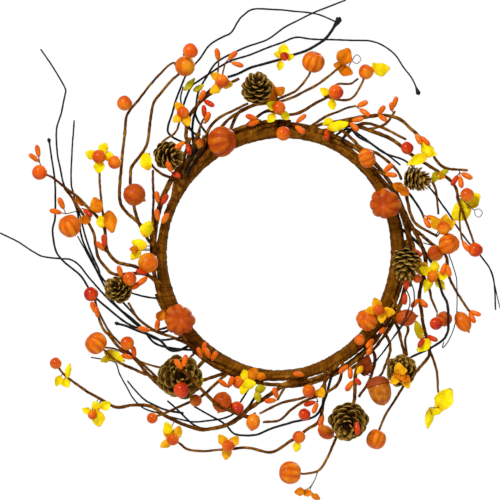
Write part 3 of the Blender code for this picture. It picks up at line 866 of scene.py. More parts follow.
    def build(self, stem: Stem, pegs: dict[str, tuple[Vector, Vector]], replaces: str = "") -> None:
        """Builds one stem as a piece of its own. A sprig that stands for a CAD node is left on no body, with its
        transform baked.

        Args:
            stem: The stem.
            pegs: For each ornament, the middle of its wire end and its axis.
            replaces: The CAD node that it stands for, if any.
        """
        draft = Draft()
        self.add(draft, stem, pegs)
        name = stem.name + ("_wound" if stem.bark is Bark.TWIG else "_waxed")
        bends = stem.body != WREATH and bool(replaces)
        thing = draft.piece(name, [BARKS[stem.bark]], None if bends else stem.body,
                            [replaces] if replaces else [])
        if bends:
            joint = next(j for j in frame["joints"] if j["child"] == stem.body)
            pivot = Vector(joint["pos_m"])
            pull = (self.ring.hang(*stem.route[1]) * MM - pivot).normalized() * 2.5 * MM
            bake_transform(thing)

    def build_group(self, name: str, stems: Sequence[Stem]) -> None:
        """Builds several stems of one kind and body as one piece.

        Args:
            name: The piece's name.
            stems: Its stems, all with one bark and body.
        """
        draft = Draft()
        for stem in stems:
            self.add(draft, stem, {})
        draft.piece(name, [BARKS[stems[0].bark]], stems[0].body)

    def nearest(self, x: float, z: float, body: str) -> Vector:
        """The point of a body's stems, or of the ring's front, that lies nearest behind a place.

        Args:
            x: Millimetres to the right.
            z: Millimetres up.
            body: The body whose stems count.

        Returns:
            The point in millimetres.
        """
        paths = list(self.runs.get(body, []))
        if body == WREATH:
            clock = math.degrees(math.atan2(x, z))
            paths.append(np.array([tuple(self.ring.point(clock + turn, 0, self.ring.tape_radius - 0.5))
                                   for turn in (-1, 0, 1)]))
        place = np.array(self.ring.hang(x, z, 0))
        best, found = math.inf, place
        for path in paths:
            gaps = np.hypot(path[:, 0] - place[0], path[:, 2] - place[2])
            index = int(gaps.argmin())
            if gaps[index] < best:
                best, found = float(gaps[index]), path[index]
        return Vector(found)

    def spur(self, draft: Draft, start: Vector, end: Vector, radius: float, slot: int) -> None:
        """Adds the short wire from a stem to a small piece, bowed a little to the front.

        Args:
            draft: The mesh that it's added to.
            start: Where it leaves the stem.
            end: Where it goes into the piece.
            radius: Its radius in millimetres.
            slot: Which of the piece's materials it has.
        """
        middle = (start + end) / 2 + Vector((0, -0.12 * (end - start).length, 0))
        if (end - start).length > 1.0:
            draft.tube(curve_through([start, middle, end], 1.5), radius, 6, slot=slot)


# ---------------------------------------------------------------- ornaments


@dataclass(frozen=True)
class Ornament:
    """A piece on a wire. Its axis runs from its wire end to its tip: clock degrees, lifted to the front."""

    name: str
    finish: str
    width: float
    height: float
    x: float
    z: float
    forward: float
    clock: float
    lift: float = 0.0

    @property
    def kind(self) -> Kind:
        """The shape, which the name starts with."""
        return Kind(self.name.split("_")[0])

    def axis(self) -> Vector:
        """From the wire end to the tip."""
        clock, lift = math.radians(self.clock), math.radians(self.lift)
        return Vector((math.sin(clock) * math.cos(lift), -math.sin(lift), math.cos(clock) * math.cos(lift)))

    def centre(self, ring: TapedRing) -> Vector:
        """The centre in millimetres, on the front of the tape if forward says so.

        Args:
            ring: The taped ring that it may lie on.

        Returns:
            The centre.
        """
        forward = self.forward
        if forward == ON_RING:
            flat = ring.tape_radius * math.cos(math.pi / 8)
            forward = flat + 0.3 + max(self.width, self.height) / 2
        return ring.hang(self.x, self.z, forward)


# Profiles from the wired end to the tip, each point a radius and a height.
GOURD_LINE = ((0.0, -0.485), (0.2, -0.455), (0.4, -0.3), (0.5, -0.04), (0.45, 0.2), (0.27, 0.37), (0.1, 0.45),
              (0.055, 0.53), (0.0, 0.55))  # shares of the width and the height
COLLAR = np.array(((0.02, -1.2), (1.0, -0.9), (1.1, -0.1), (0.8, 0.5)))  # mm
STALK_STUB = np.array(((0.02, -1.6), (1.2, -1.2), (1.4, 0.4), (1.0, 2.6)))  # mm
# A cone scale's shares of its full width and thickness, from its base to its blunt end.
SCALE_WIDTHS = np.array((0.3, 0.42, 0.58, 0.76, 0.92, 1.0, 0.98, 0.84, 0.5))
SCALE_DEPTHS = np.array((1.0, 0.95, 0.9, 0.9, 0.95, 1.0, 1.1, 1.2, 0.7))


@dataclass
class OrnamentMaker:
    """Shapes and dresses every pumpkin, gourd, berry, cone and acorn."""

    ring: TapedRing
    lobes: int = 8
    groove: float = 0.13  # depth of a pumpkin's groove over its radius
    fullness: float = 0.82  # under 1, a pumpkin is fuller than a ball
    dish: float = 0.24  # depth of the hollow at a pumpkin's end over half its height
    dish_reach: float = 0.34  # how far out the hollow lies, over its radius
    rib: float = 0.05  # depth of a gourd's groove over its radius
    egg: float = 0.05  # how far a berry is fuller towards its wire
    point: float = 0.09  # how far a tall berry's tip is drawn out, over its height
    cone_turn: float = 137.5  # degrees from one cone scale to the next
    cone_scale: float = 8.2  # scales that stand side by side round a cone
    knob_rows: float = 2.6  # sections of an acorn's cap to each row of its scales
    place: Vector = field(default_factory=Vector)  # the centre of the one being made

    def outline(self, points: Sequence[tuple[float, float]], count: int, wide: float = 1.0,
                high: float = 1.0) -> np.ndarray:
        """Radius and height of count sections on a smooth line through points, scaled by wide and high.

        Args:
            points: Radius and height of the places that the line passes through.
            count: How many sections.
            wide: What the radii are multiplied by.
            high: What the heights are multiplied by.

        Returns:
            One row for each section.
        """
        path = curve_through([Vector((radius * wide, height * high, 0)) for radius, height in points], 0.4)
        pick = np.linspace(0, len(path) - 1, count).round().astype(int)
        chosen = path[pick][:, :2]
        chosen[:, 0] = np.maximum(chosen[:, 0], 0.02)
        return chosen

    def collar(self, draft: Draft, one: Ornament, share: float) -> None:
        """Adds the dab of tape where the wire goes in, a share of the height behind the middle."""
        draft.turned(COLLAR, self.place - one.axis() * one.height * share, one.axis(), 8, worn=0.3, slot=1)

    def pumpkin(self, draft: Draft, one: Ornament) -> None:
        """A ribbed pumpkin with soft lobes, dished at both ends, and a stub where its stalk was.

        Args:
            draft: The mesh that it's added to.
            one: The piece, with its place and size.
        """
        half, high, sides, seed = one.width / 2, one.height / 2, 12 * self.lobes, seed_of(one.name)
        turn = np.linspace(0, math.pi, 30)
        radius = half * np.sin(turn) ** self.fullness
        dish = self.dish * np.exp(-((radius / half) / self.dish_reach) ** 2)
        height = -high * np.cos(turn) * (1 - dish)
        angle = np.arange(sides) * ROUND / sides
        rng = np.random.default_rng(seed)
        uneven = 1 + 0.035 * np.sin(angle * 3 + rng.uniform(0, 6))
        uneven = uneven + 0.03 * np.sin(angle * 2 + rng.uniform(0, 6))
        lobe = np.abs(np.cos(self.lobes / 2 * angle + 0.25 * np.sin(angle + rng.uniform(0, 6)))) ** 0.55
        depth = self.groove * (0.35 + 0.65 * np.sin(turn))[:, None]
        shape = uneven * (1 - depth * (1 - lobe)[None, :])
        # Darker in the grooves and towards the dished ends as painted shade, lighter on the lobes as painted
        # highlight.
        worn = 0.26 + 0.42 * lobe[None, :] * (0.55 + 0.45 * np.sin(turn)[:, None])
        # The second colour in spots along the lobes' crests: a painted highlight.
        crest_highlight = np.clip((lobe - 0.72) / 0.28, 0, 1)[None, :] * np.clip(np.sin(turn)[:, None] - 0.3, 0, 1)
        places = np.stack(np.broadcast_arrays(
            radius[:, None] * np.cos(angle), radius[:, None] * np.sin(angle), height[:, None]), -1)
        spots = np.clip(0.5 + 0.9 * ripple(places, 9, seed), 0, 1)
        draft.turned(np.stack([radius, height], -1), self.place, one.axis(), sides, shape,
                     worn, 0.75 * crest_highlight * spots)
        draft.turned(STALK_STUB, self.place - one.axis() * high * 0.9, one.axis(), 10, worn=0.3, slot=1)

    def gourd(self, draft: Draft, one: Ornament) -> None:
        """A plump gourd with faint ribs, drawn out to a small point at its tip.

        Args:
            draft: The mesh that it's added to.
            one: The piece, with its place and size.
        """
        sides, seed = 64, seed_of(one.name)
        line = self.outline(GOURD_LINE, 34, one.width, one.height)
        angle = np.arange(sides) * ROUND / sides
        lobe = np.abs(np.cos(4 * angle + 0.3 * np.sin(angle))) ** 0.6
        full = np.clip(line[:, :1] / (one.width / 2), 0, 1)
        shape = 1 - self.rib * full * (1 - lobe)[None, :] + 0.02 * np.sin(2 * angle + seed % 7)[None, :]
        # Darker in the rib grooves as painted shade, and darker towards the narrow ends.
        worn = 0.2 + 0.5 * lobe[None, :] * full
        draft.turned(line, self.place, one.axis(), sides, shape, worn, 0.25 * (1 - full) + 0 * worn)
        self.collar(draft, one, 0.48)

    def ball(self, draft: Draft, one: Ornament, sides: int = 32) -> None:
        """A round berry or ball gourd, a little egg-shaped, blushed on one side.

        Args:
            draft: The mesh that it's added to.
            one: The piece, with its place and size.
            sides: Points round it.
        """
        seed = seed_of(one.name)
        rng = np.random.default_rng(seed)
        turn = np.linspace(0, math.pi, sides // 2 + 1)
        radius = one.width / 2 * np.sin(turn) ** 0.96
        height = -one.height / 2 * (np.cos(turn) - self.egg * np.sin(turn) ** 2)
        angle = np.arange(sides) * ROUND / sides
        around = np.stack(np.broadcast_arrays(
            np.sin(turn)[:, None] * np.cos(angle), np.sin(turn)[:, None] * np.sin(angle),
            -np.cos(turn)[:, None]), -1)
        facing = around @ unit(np.array((rng.normal(), rng.normal(), 0.6)))
        point = np.exp(-((math.pi - turn) / 0.3) ** 2) if one.height > one.width else 0 * turn
        radius, height = radius * (1 - 0.45 * point), height + self.point * one.height * point
        shape = 1 + 0.018 * ripple(around * one.width / 2, 7, seed)
        blush = np.clip(0.9 * (facing - 0.1) + 0.2 * ripple(around * one.width, 9, seed + 1), 0, 0.7)
        draft.turned(np.stack([radius, height], -1), self.place, one.axis(), sides, shape,
                     0.45 - 0.45 * facing, blush)
        self.collar(draft, one, 0.5)

    def scale(self, draft: Draft, base: np.ndarray, middle: np.ndarray, tip: np.ndarray, side: np.ndarray,
              width: float, thick: float, seed: int) -> None:
        """One woody scale: a bent spoon that widens to a thick, pale, blunt end, near black towards its base as
        painted shade.

        Args:
            draft: The mesh that it's added to.
            base: Where it leaves the core.
            middle: The place it bends towards.
            tip: The middle of its blunt end.
            side: The direction across it.
            width: Its full width.
            thick: Its full thickness.
            seed: A steady seed for its irregularities.
        """
        share = np.linspace(0, 1, len(SCALE_WIDTHS))[:, None]
        path = (1 - share) ** 2 * base + 2 * share * (1 - share) * middle + share**2 * tip
        tangents = unit(np.gradient(path, axis=0))
        across = unit(side - tangents * (tangents @ side)[:, None])
        up = np.cross(tangents, across)
        spread, depth = width / 2 * SCALE_WIDTHS, thick / 2 * SCALE_DEPTHS
        angle = np.arange(10) * ROUND / 10
        cup = (np.cos(angle) ** 2)[None, :] * spread[:, None] * 0.34
        rows = (path[:, None, :] + (spread[:, None] * np.cos(angle))[..., None] * across[:, None, :]
                + (depth[:, None] * np.sin(angle) + cup)[..., None] * up[:, None, :])
        end = np.clip((share - 0.8) / 0.2, 0, 1)
        sides = np.clip((np.abs(np.cos(angle)) - 0.7) / 0.3, 0, 1)[None, :]
        sides = sides * np.clip((share - 0.3) / 0.4, 0, 1)
        noise = 0.25 * ripple(rows, 4, seed)
        # Pale on the blunt end and sides as real weathering; the second colour, near black, towards the base where
        # the scales overlap, as painted shade.
        draft.loft(rows, np.clip(0.42 + 0.58 * np.maximum(end, sides) + noise, 0, 1),
                   np.clip(1.15 * (1 - share) - 0.15, 0, 1) + 0 * sides)

    def cone(self, draft: Draft, one: Ornament) -> None:
        """An open pine cone: a near-black core, painted shade, and spiral rows of scales that fold up towards its
        tip.

        Args:
            draft: The mesh that it's added to.
            one: The piece, with its place and size.
        """
        rng = np.random.default_rng(seed_of(one.name))
        axis = np.array(one.axis())
        first = unit(np.cross(axis, (0.3, 0.2, 0.93)))
        second = np.cross(axis, first)
        middle = np.array(self.place)
        core = self.outline(((0.5, -one.height * 0.42), (one.width * 0.2, -one.height * 0.34),
                             (one.width * 0.22, 0.0), (one.width * 0.1, one.height * 0.34),
                             (0.1, one.height * 0.44)), 16)
        # The near-black core is painted shade deep inside the cone.
        draft.turned(core, self.place, one.axis(), 16, worn=0.05, blush=0.6)
        count = round(34 + one.width * 0.6)
        # Up the cone the scales get narrower, stand up more and close over its tip.
        for index in range(count):
            t = (index + 0.5) / count
            turn = math.radians(self.cone_turn * index + rng.uniform(-9, 9))
            out = math.cos(turn) * first + math.sin(turn) * second
            full = math.sin(math.pi * (0.26 + 0.68 * t)) ** 0.8
            reach = one.width / 2 * full * rng.uniform(0.88, 1.10)
            level = one.height * (-0.40 + 0.70 * t)
            rise = one.height * (0.02 + 0.30 * t**1.3)
            base = middle + axis * level + out * reach * 0.16
            bend = middle + axis * (level - rise * 0.1) + out * reach * (0.85 - 0.25 * t)
            end = middle + axis * min(level + rise, one.height / 2) + out * reach
            wide = (ROUND * one.width / 2 * full / self.cone_scale) * (1.0 - 0.2 * t)
            self.scale(draft, base, bend, end, np.cross(axis, out), wide, 0.7 + one.width * 0.012,
                       seed_of(one.name) + index)

    def acorn(self, draft: Draft, one: Ornament) -> None:
        """A glossy pointed nut in a cap of small overlapping scales.

        Args:
            draft: The mesh that it's added to.
            one: The piece, with its place and size.
        """
        low, sides, rows = -one.height / 2, 48, 30
        rim = low + one.height * 0.34
        wide, nut = one.width / 2 * 1.03, one.width / 2 * 1.02
        body = self.outline(
            ((nut * 0.9, rim - 1.5), (nut * 0.985, rim + 1.5), (nut * 0.97, one.height * 0.06),
             (nut * 0.87, one.height * 0.22), (nut * 0.67, one.height * 0.36), (nut * 0.4, one.height * 0.45),
             (nut * 0.14, one.height * 0.49), (nut * 0.06, one.height * 0.505),
             (0.2, one.height * 0.51)), rows)
        angle = np.arange(sides) * ROUND / sides
        streaks = 0.5 + 0.25 * np.sin(9 * angle) + 0.2 * np.sin(17 * angle + 1)
        draft.turned(body, self.place, one.axis(), sides, worn=np.broadcast_to(streaks, (rows, sides)))
        cap = self.outline(
            ((0.6, low), (wide * 0.42, low + one.height * 0.03), (wide * 0.72, low + one.height * 0.1),
             (wide * 0.92, low + one.height * 0.2), (wide, rim - one.height * 0.04),
             (wide * 0.99, rim), (nut * 0.95, rim - 0.6)), rows)
        row = np.arange(rows)[:, None] / self.knob_rows
        staggered = 8 * angle[None, :] + np.floor(row) * math.pi / 2
        knobs = np.abs(np.sin(row * math.pi)) * np.abs(np.sin(staggered))
        draft.turned(cap, self.place, one.axis(), sides, 1 + 0.025 * knobs, 0.3 + 0.4 * knobs, slot=1)

    def build(self, one: Ornament) -> None:
        """Builds the piece that stands for a packed ornament, on that ornament's body.

        Args:
            one: The ornament.
        """
        self.place = one.centre(self.ring)
        draft = Draft()
        paint = PAINTS[one.finish]
        shapes = {Kind.PUMPKIN: self.pumpkin, Kind.GOURD: self.gourd, Kind.BALL: self.ball,
                  Kind.BERRY: self.ball, Kind.CONE: self.cone, Kind.ACORN: self.acorn}
        shapes[one.kind](draft, one)
        second = {Kind.ACORN: ACORN_CAP}.get(one.kind, TWIG_TAPE)
        bodies = frame["record"]["behaviour"]["bodies"]
        body = next(name for name, nodes in bodies.items() if one.name in nodes)
        suffix = {Kind.CONE: "_scaled", Kind.ACORN: "_varnished"}.get(one.kind, "_painted")
        draft.piece(one.name + suffix, [paint] if one.kind is Kind.CONE else [paint, second], body,
                    [one.name])


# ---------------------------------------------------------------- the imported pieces

ON_RING = -1.0  # a forward value that sets an ornament on the front of the tape

ORNAMENTS = tuple(Ornament(*row) for row in (
    # Foam pumpkins and gourds: name, finish, width, height, x, z, forward, then its axis's clock and lift
    ("pumpkin_ring_upper_left", "pumpkin_rust", 27, 24, -53, 101, ON_RING, 80, 35),
    ("pumpkin_ring_right", "pumpkin_rust", 28, 23, 93, 45, ON_RING, 250, 75),
    ("pumpkin_ring_lower_left", "pumpkin_rust", 28, 22, -91, -59, ON_RING, 45, 85),
    ("pumpkin_ring_lower_right", "pumpkin_orange", 20, 18, 77, -59, ON_RING, 300, 50),
    ("pumpkin_top", "pumpkin_orange", 20, 19, 29, 172, 18, 20, 20),
    ("pumpkin_far_left", "pumpkin_orange", 21, 19, -189, 25, 26, 330, 30),
    ("pumpkin_low_left", "pumpkin_orange", 20, 18, -166, -80, 16, 310, 20),
    ("pumpkin_upper_right", "pumpkin_orange", 18, 15, 77, 86, 15, 70, 15),
    ("pumpkin_bottom", "pumpkin_orange", 20, 20, 8, -196, 14, 275, 15),
    ("pumpkin_bottom_right", "pumpkin_orange", 18, 18, 85, -166, 16, 200, 15),
    ("pumpkin_right", "pumpkin_orange", 19, 18, 150, 9, 22, 60, 40),
    ("pumpkin_right_low", "pumpkin_rust", 14, 13, 146, -58, 22, 120, 40),
    ("gourd_left", "pumpkin_rust", 20, 21, -131, 53, 20, 120, 15),
    ("gourd_right_dark", "pumpkin_rust", 15, 20, 112, -57, 24, 80, 10),
    ("gourd_right_long", "pumpkin_orange", 14, 21, 163, -61, 18, 150, 15),
    ("gourd_bottom_left", "pumpkin_rust", 18, 20, -53, -133, 20, 200, 25),
    ("ball_gourd_left", "pumpkin_orange", 18, 18, -119, -8, 18, 300, 40),
    ("ball_gourd_arch", "pumpkin_orange", 18, 18, -86, 168, 26, 100, 10),
    # Berries
    ("berry_left_tip", "berry_red", 13.5, 13.5, -216, 73, 24, 290, 10),
    ("berry_arch", "berry_red", 13.5, 13.5, -81, 181, 38, 60, 10),
    ("berry_top_tip", "berry_orange", 13.5, 13.5, 76, 163, 20, 20, 10),
    ("berry_top_right", "berry_red", 13.5, 13.5, 49, 145, 20, 60, 30),
    ("berry_ring_top", "berry_orange", 13, 13, 2, 108, ON_RING, 0, 80),
    ("berry_right_tip", "berry_red", 13, 13, 174, 4, 18, 165, 5),
    ("berry_low_left_tip", "berry_orange", 10.5, 10.5, -202, -98, 16, 325, 5),
    # Pine cones and the acorn
    ("cone_upper_left", "cone_brown", 26, 27, -100, 88, 22, 95, 50),
    ("cone_top", "cone_brown", 29, 28, -22, 149, 22, 5, 52),
    ("cone_right_upper", "cone_brown", 23, 27, 121, 67, 22, 105, 10),
    ("cone_ring_right", "cone_brown", 27, 32, 112, -9, ON_RING, 185, 15),
    ("cone_left", "cone_brown", 25, 25, -146, -31, 20, 320, 65),
    ("cone_lower_left", "cone_brown", 39, 34, -91, -110, 26, 20, 80),
    ("cone_lower_right", "cone_brown", 29, 28, 108, -104, 23, 330, 70),
    ("cone_bottom", "cone_brown", 35, 32, 60, -150, 25, 200, 70),
    ("acorn", "acorn_brown", 20, 27, 88, -122, 33, 165, 10),
))

# Fixed twigs, taped to the ring: name, root radius, root clock, root seat, route
TWIGS = (
    ("left", 1.4, 257, 30, ((-130, -12, 6), (-147, -7, 8), (-156, 4, 10), (-158, 22, 11), (-165, 33, 12),
        (-181, 50, 13), (-192, 58, 14))),
    ("arch", 1.4, 271, 40, ((-117, 18, 7), (-128, 28, 7), (-138, 36, 7), (-145, 47, 8), (-144, 67, 9),
        (-142, 94, 10), (-140, 110, 11))),
    ("top", 1.4, 335, 30, ((-39, 126, 4), (-25, 134, 4), (-10, 137, 5))),
    ("top_right", 1.4, 341, 0, ((-15, 128, 2), (2, 126, 3), (12, 126, 4), (21, 129, 5), (32, 136, 7),
        (42, 141, 8))),
    ("right", 1.8, 17, 30, ((58, 115, 6), (71, 114, 8), (97, 104, 9), (118, 89, 9), (141, 74, 10),
        (151, 67, 11), (157, 58, 12), (159, 49, 13))),
    ("right_lower", 1.8, 66, 20, ((118, 24, 4), (127, 8, 5), (130, -11, 6), (126, -24, 6), (124, -41, 6),
        (127, -57, 6), (130, -74, 6), (133, -90, 6), (124, -103, 6), (112, -116, 7))),
    ("bottom", 1.8, 141, 0, ((67, -108, 2), (66, -130, 3), (58, -154, 4), (49, -165, 6))),
    ("bottom_left", 1.8, 177, 20, ((-17, -131, 4), (-28, -139, 6), (-40, -149, 7), (-55, -156, 8),
        (-71, -158, 9), (-88, -153, 9), (-103, -146, 9), (-117, -137, 9), (-135, -136, 9), (-147, -138, 10),
        (-159, -132, 11), (-175, -123, 12))),
    ("low_left", 1.4, 204, 0, ((-86, -118, 1), (-108, -114, 3), (-121, -108, 5), (-141, -100, 7))),
)
# Sprigs with bodies of their own, from where they leave their twig: name, the ornament they end in, route
SPRIGS = (
    ("left_tip", "berry_left_tip", ((-193, 59, 14), (-204, 68, 20))),
    ("arch", "ball_gourd_arch", ((-140, 111, 11), (-138, 125, 13), (-127, 139, 17), (-115, 154, 21))),
    ("top", "pumpkin_top", ((-9, 137, 5), (4, 142, 7), (15, 148, 9))),
    ("top_tip", "berry_top_tip", ((43, 141, 8), (56, 138, 11), (65, 141, 14))),
    ("right_tip", "berry_right_tip", ((159, 48, 13), (164, 34, 15))),
    ("bottom_right", "pumpkin_bottom_right", ((111, -117, 7), (103, -130, 8), (94, -144, 10))),
    ("bottom", "pumpkin_bottom", ((49, -166, 6), (42, -182, 8), (34, -194, 10))),
    ("low_left_tip", "berry_low_left_tip", ((-176, -122, 12), (-190, -112, 14))),
    ("low_left", "pumpkin_low_left", ((-142, -99, 7), (-149, -95, 9))),
)
# Long black vines, free at their tips: name, root clock, root seat, knob, route
VINES = (
    ("left_high", 221, 20, 0, ((-110, -82, 3), (-127, -65, 3), (-152, -41, 3), (-165, -15, 3),
        (-178, 12, 3), (-184, 40, 3), (-196, 66, 3), (-201, 91, 3), (-202, 111, 3), (-197, 128, 3),
        (-194, 143, 3), (-195, 150, 3), (-205, 168, 3), (-216, 184, 3))),
    ("left_far", 229, -20, 0, ((-110, -77, 0), (-127, -66, -1), (-153, -43, -1), (-172, -22, -1),
        (-181, -11, -1), (-190, -5, -1), (-198, -4, -1), (-214, -2, 0), (-222, 2, 0), (-239, 12, 1),
        (-253, 19, 2))),
    ("top_outer", 325, 20, 0, ((-86, 100, 2), (-99, 106, 2), (-101, 116, 2), (-92, 146, 0), (-86, 160, 0),
        (-76, 173, 0), (-66, 186, 0), (-54, 194, 0), (-46, 199, 0), (-39, 209, 0), (-33, 215, 1),
        (-23, 220, 2), (4, 219, 3), (31, 216, 4), (49, 209, 4))),
    ("top_high", 328, 0, 0, ((-76, 123, 3), (-76, 135, 3), (-72, 150, 4), (-66, 161, 4), (-58, 172, 4),
        (-39, 183, 4), (-12, 193, 5), (4, 204, 6), (30, 217, 8), (58, 228, 9))),
    ("top_long", 327, 55, 1.9, ((-84, 114, 6), (-89, 126, 6), (-82, 148, 7), (-73, 156, 8), (-50, 171, 8),
        (-26, 180, 8), (-1, 189, 8), (13, 194, 8), (28, 193, 8), (66, 192, 8), (85, 190, 8), (101, 180, 8),
        (110, 168, 8), (118, 157, 8), (124, 143, 8))),
    ("right", 24, 0, 0, ((62, 112, 1), (82, 98, 2), (97, 89, 2), (115, 82, 2), (130, 64, 2), (147, 41, 2),
        (157, 27, 2), (169, 10, 2), (179, -1, 2), (189, -16, 2), (192, -32, 2), (193, -50, 2))),
)

STEMS = (
    *(Stem("twig_" + name, Bark.TWIG, radius, 1.1, route, clock, seat)
      for name, radius, clock, seat, route in TWIGS),
    *(Stem("sprig_" + name, Bark.TWIG, 1.1, 0.8, route, ends_in=end, body=name + "_sprig")
      for name, end, route in SPRIGS),
    *(Stem("vine_" + name, Bark.VINE, 0.9, 0.6, route, clock, seat, knob=knob)
      for name, clock, seat, knob, route in VINES),
)


# ---------------------------------------------------------------- what isn't packed as a node


@dataclass(frozen=True)
class Bundle:
    """Loose stems of one kind that make one piece. Each is root radius, tip radius, knob and route."""

    name: str
    bark: Bark
    strands: tuple
    body: str = WREATH


@dataclass(frozen=True)
class Fruit:
    """A small berry on a short wire. forward is its centre's, or None for just in front of its stem."""

    name: str
    x: float
    z: float
    width: float
    tone: Tone = Tone.ORANGE
    forward: float | None = None
    body: str = WREATH
    height: float | None = None
    clock: float | None = None  # where its tip points, if not away from its stem


@dataclass(frozen=True)
class Pips:
    """Dipped seed pips: each is base x, base z, middle x, middle z, tone, and forward or None."""

    name: str
    pips: tuple
    body: str = WREATH


@dataclass(frozen=True)
class Petals:
    """Cloth petals: each is x, z, length, width, the clock its tip points to, and forward or None."""

    name: str
    tone: Tone
    petals: tuple
    body: str = WREATH
    point: float = 0.25  # 0 for a round tip, 1 for a sharp one


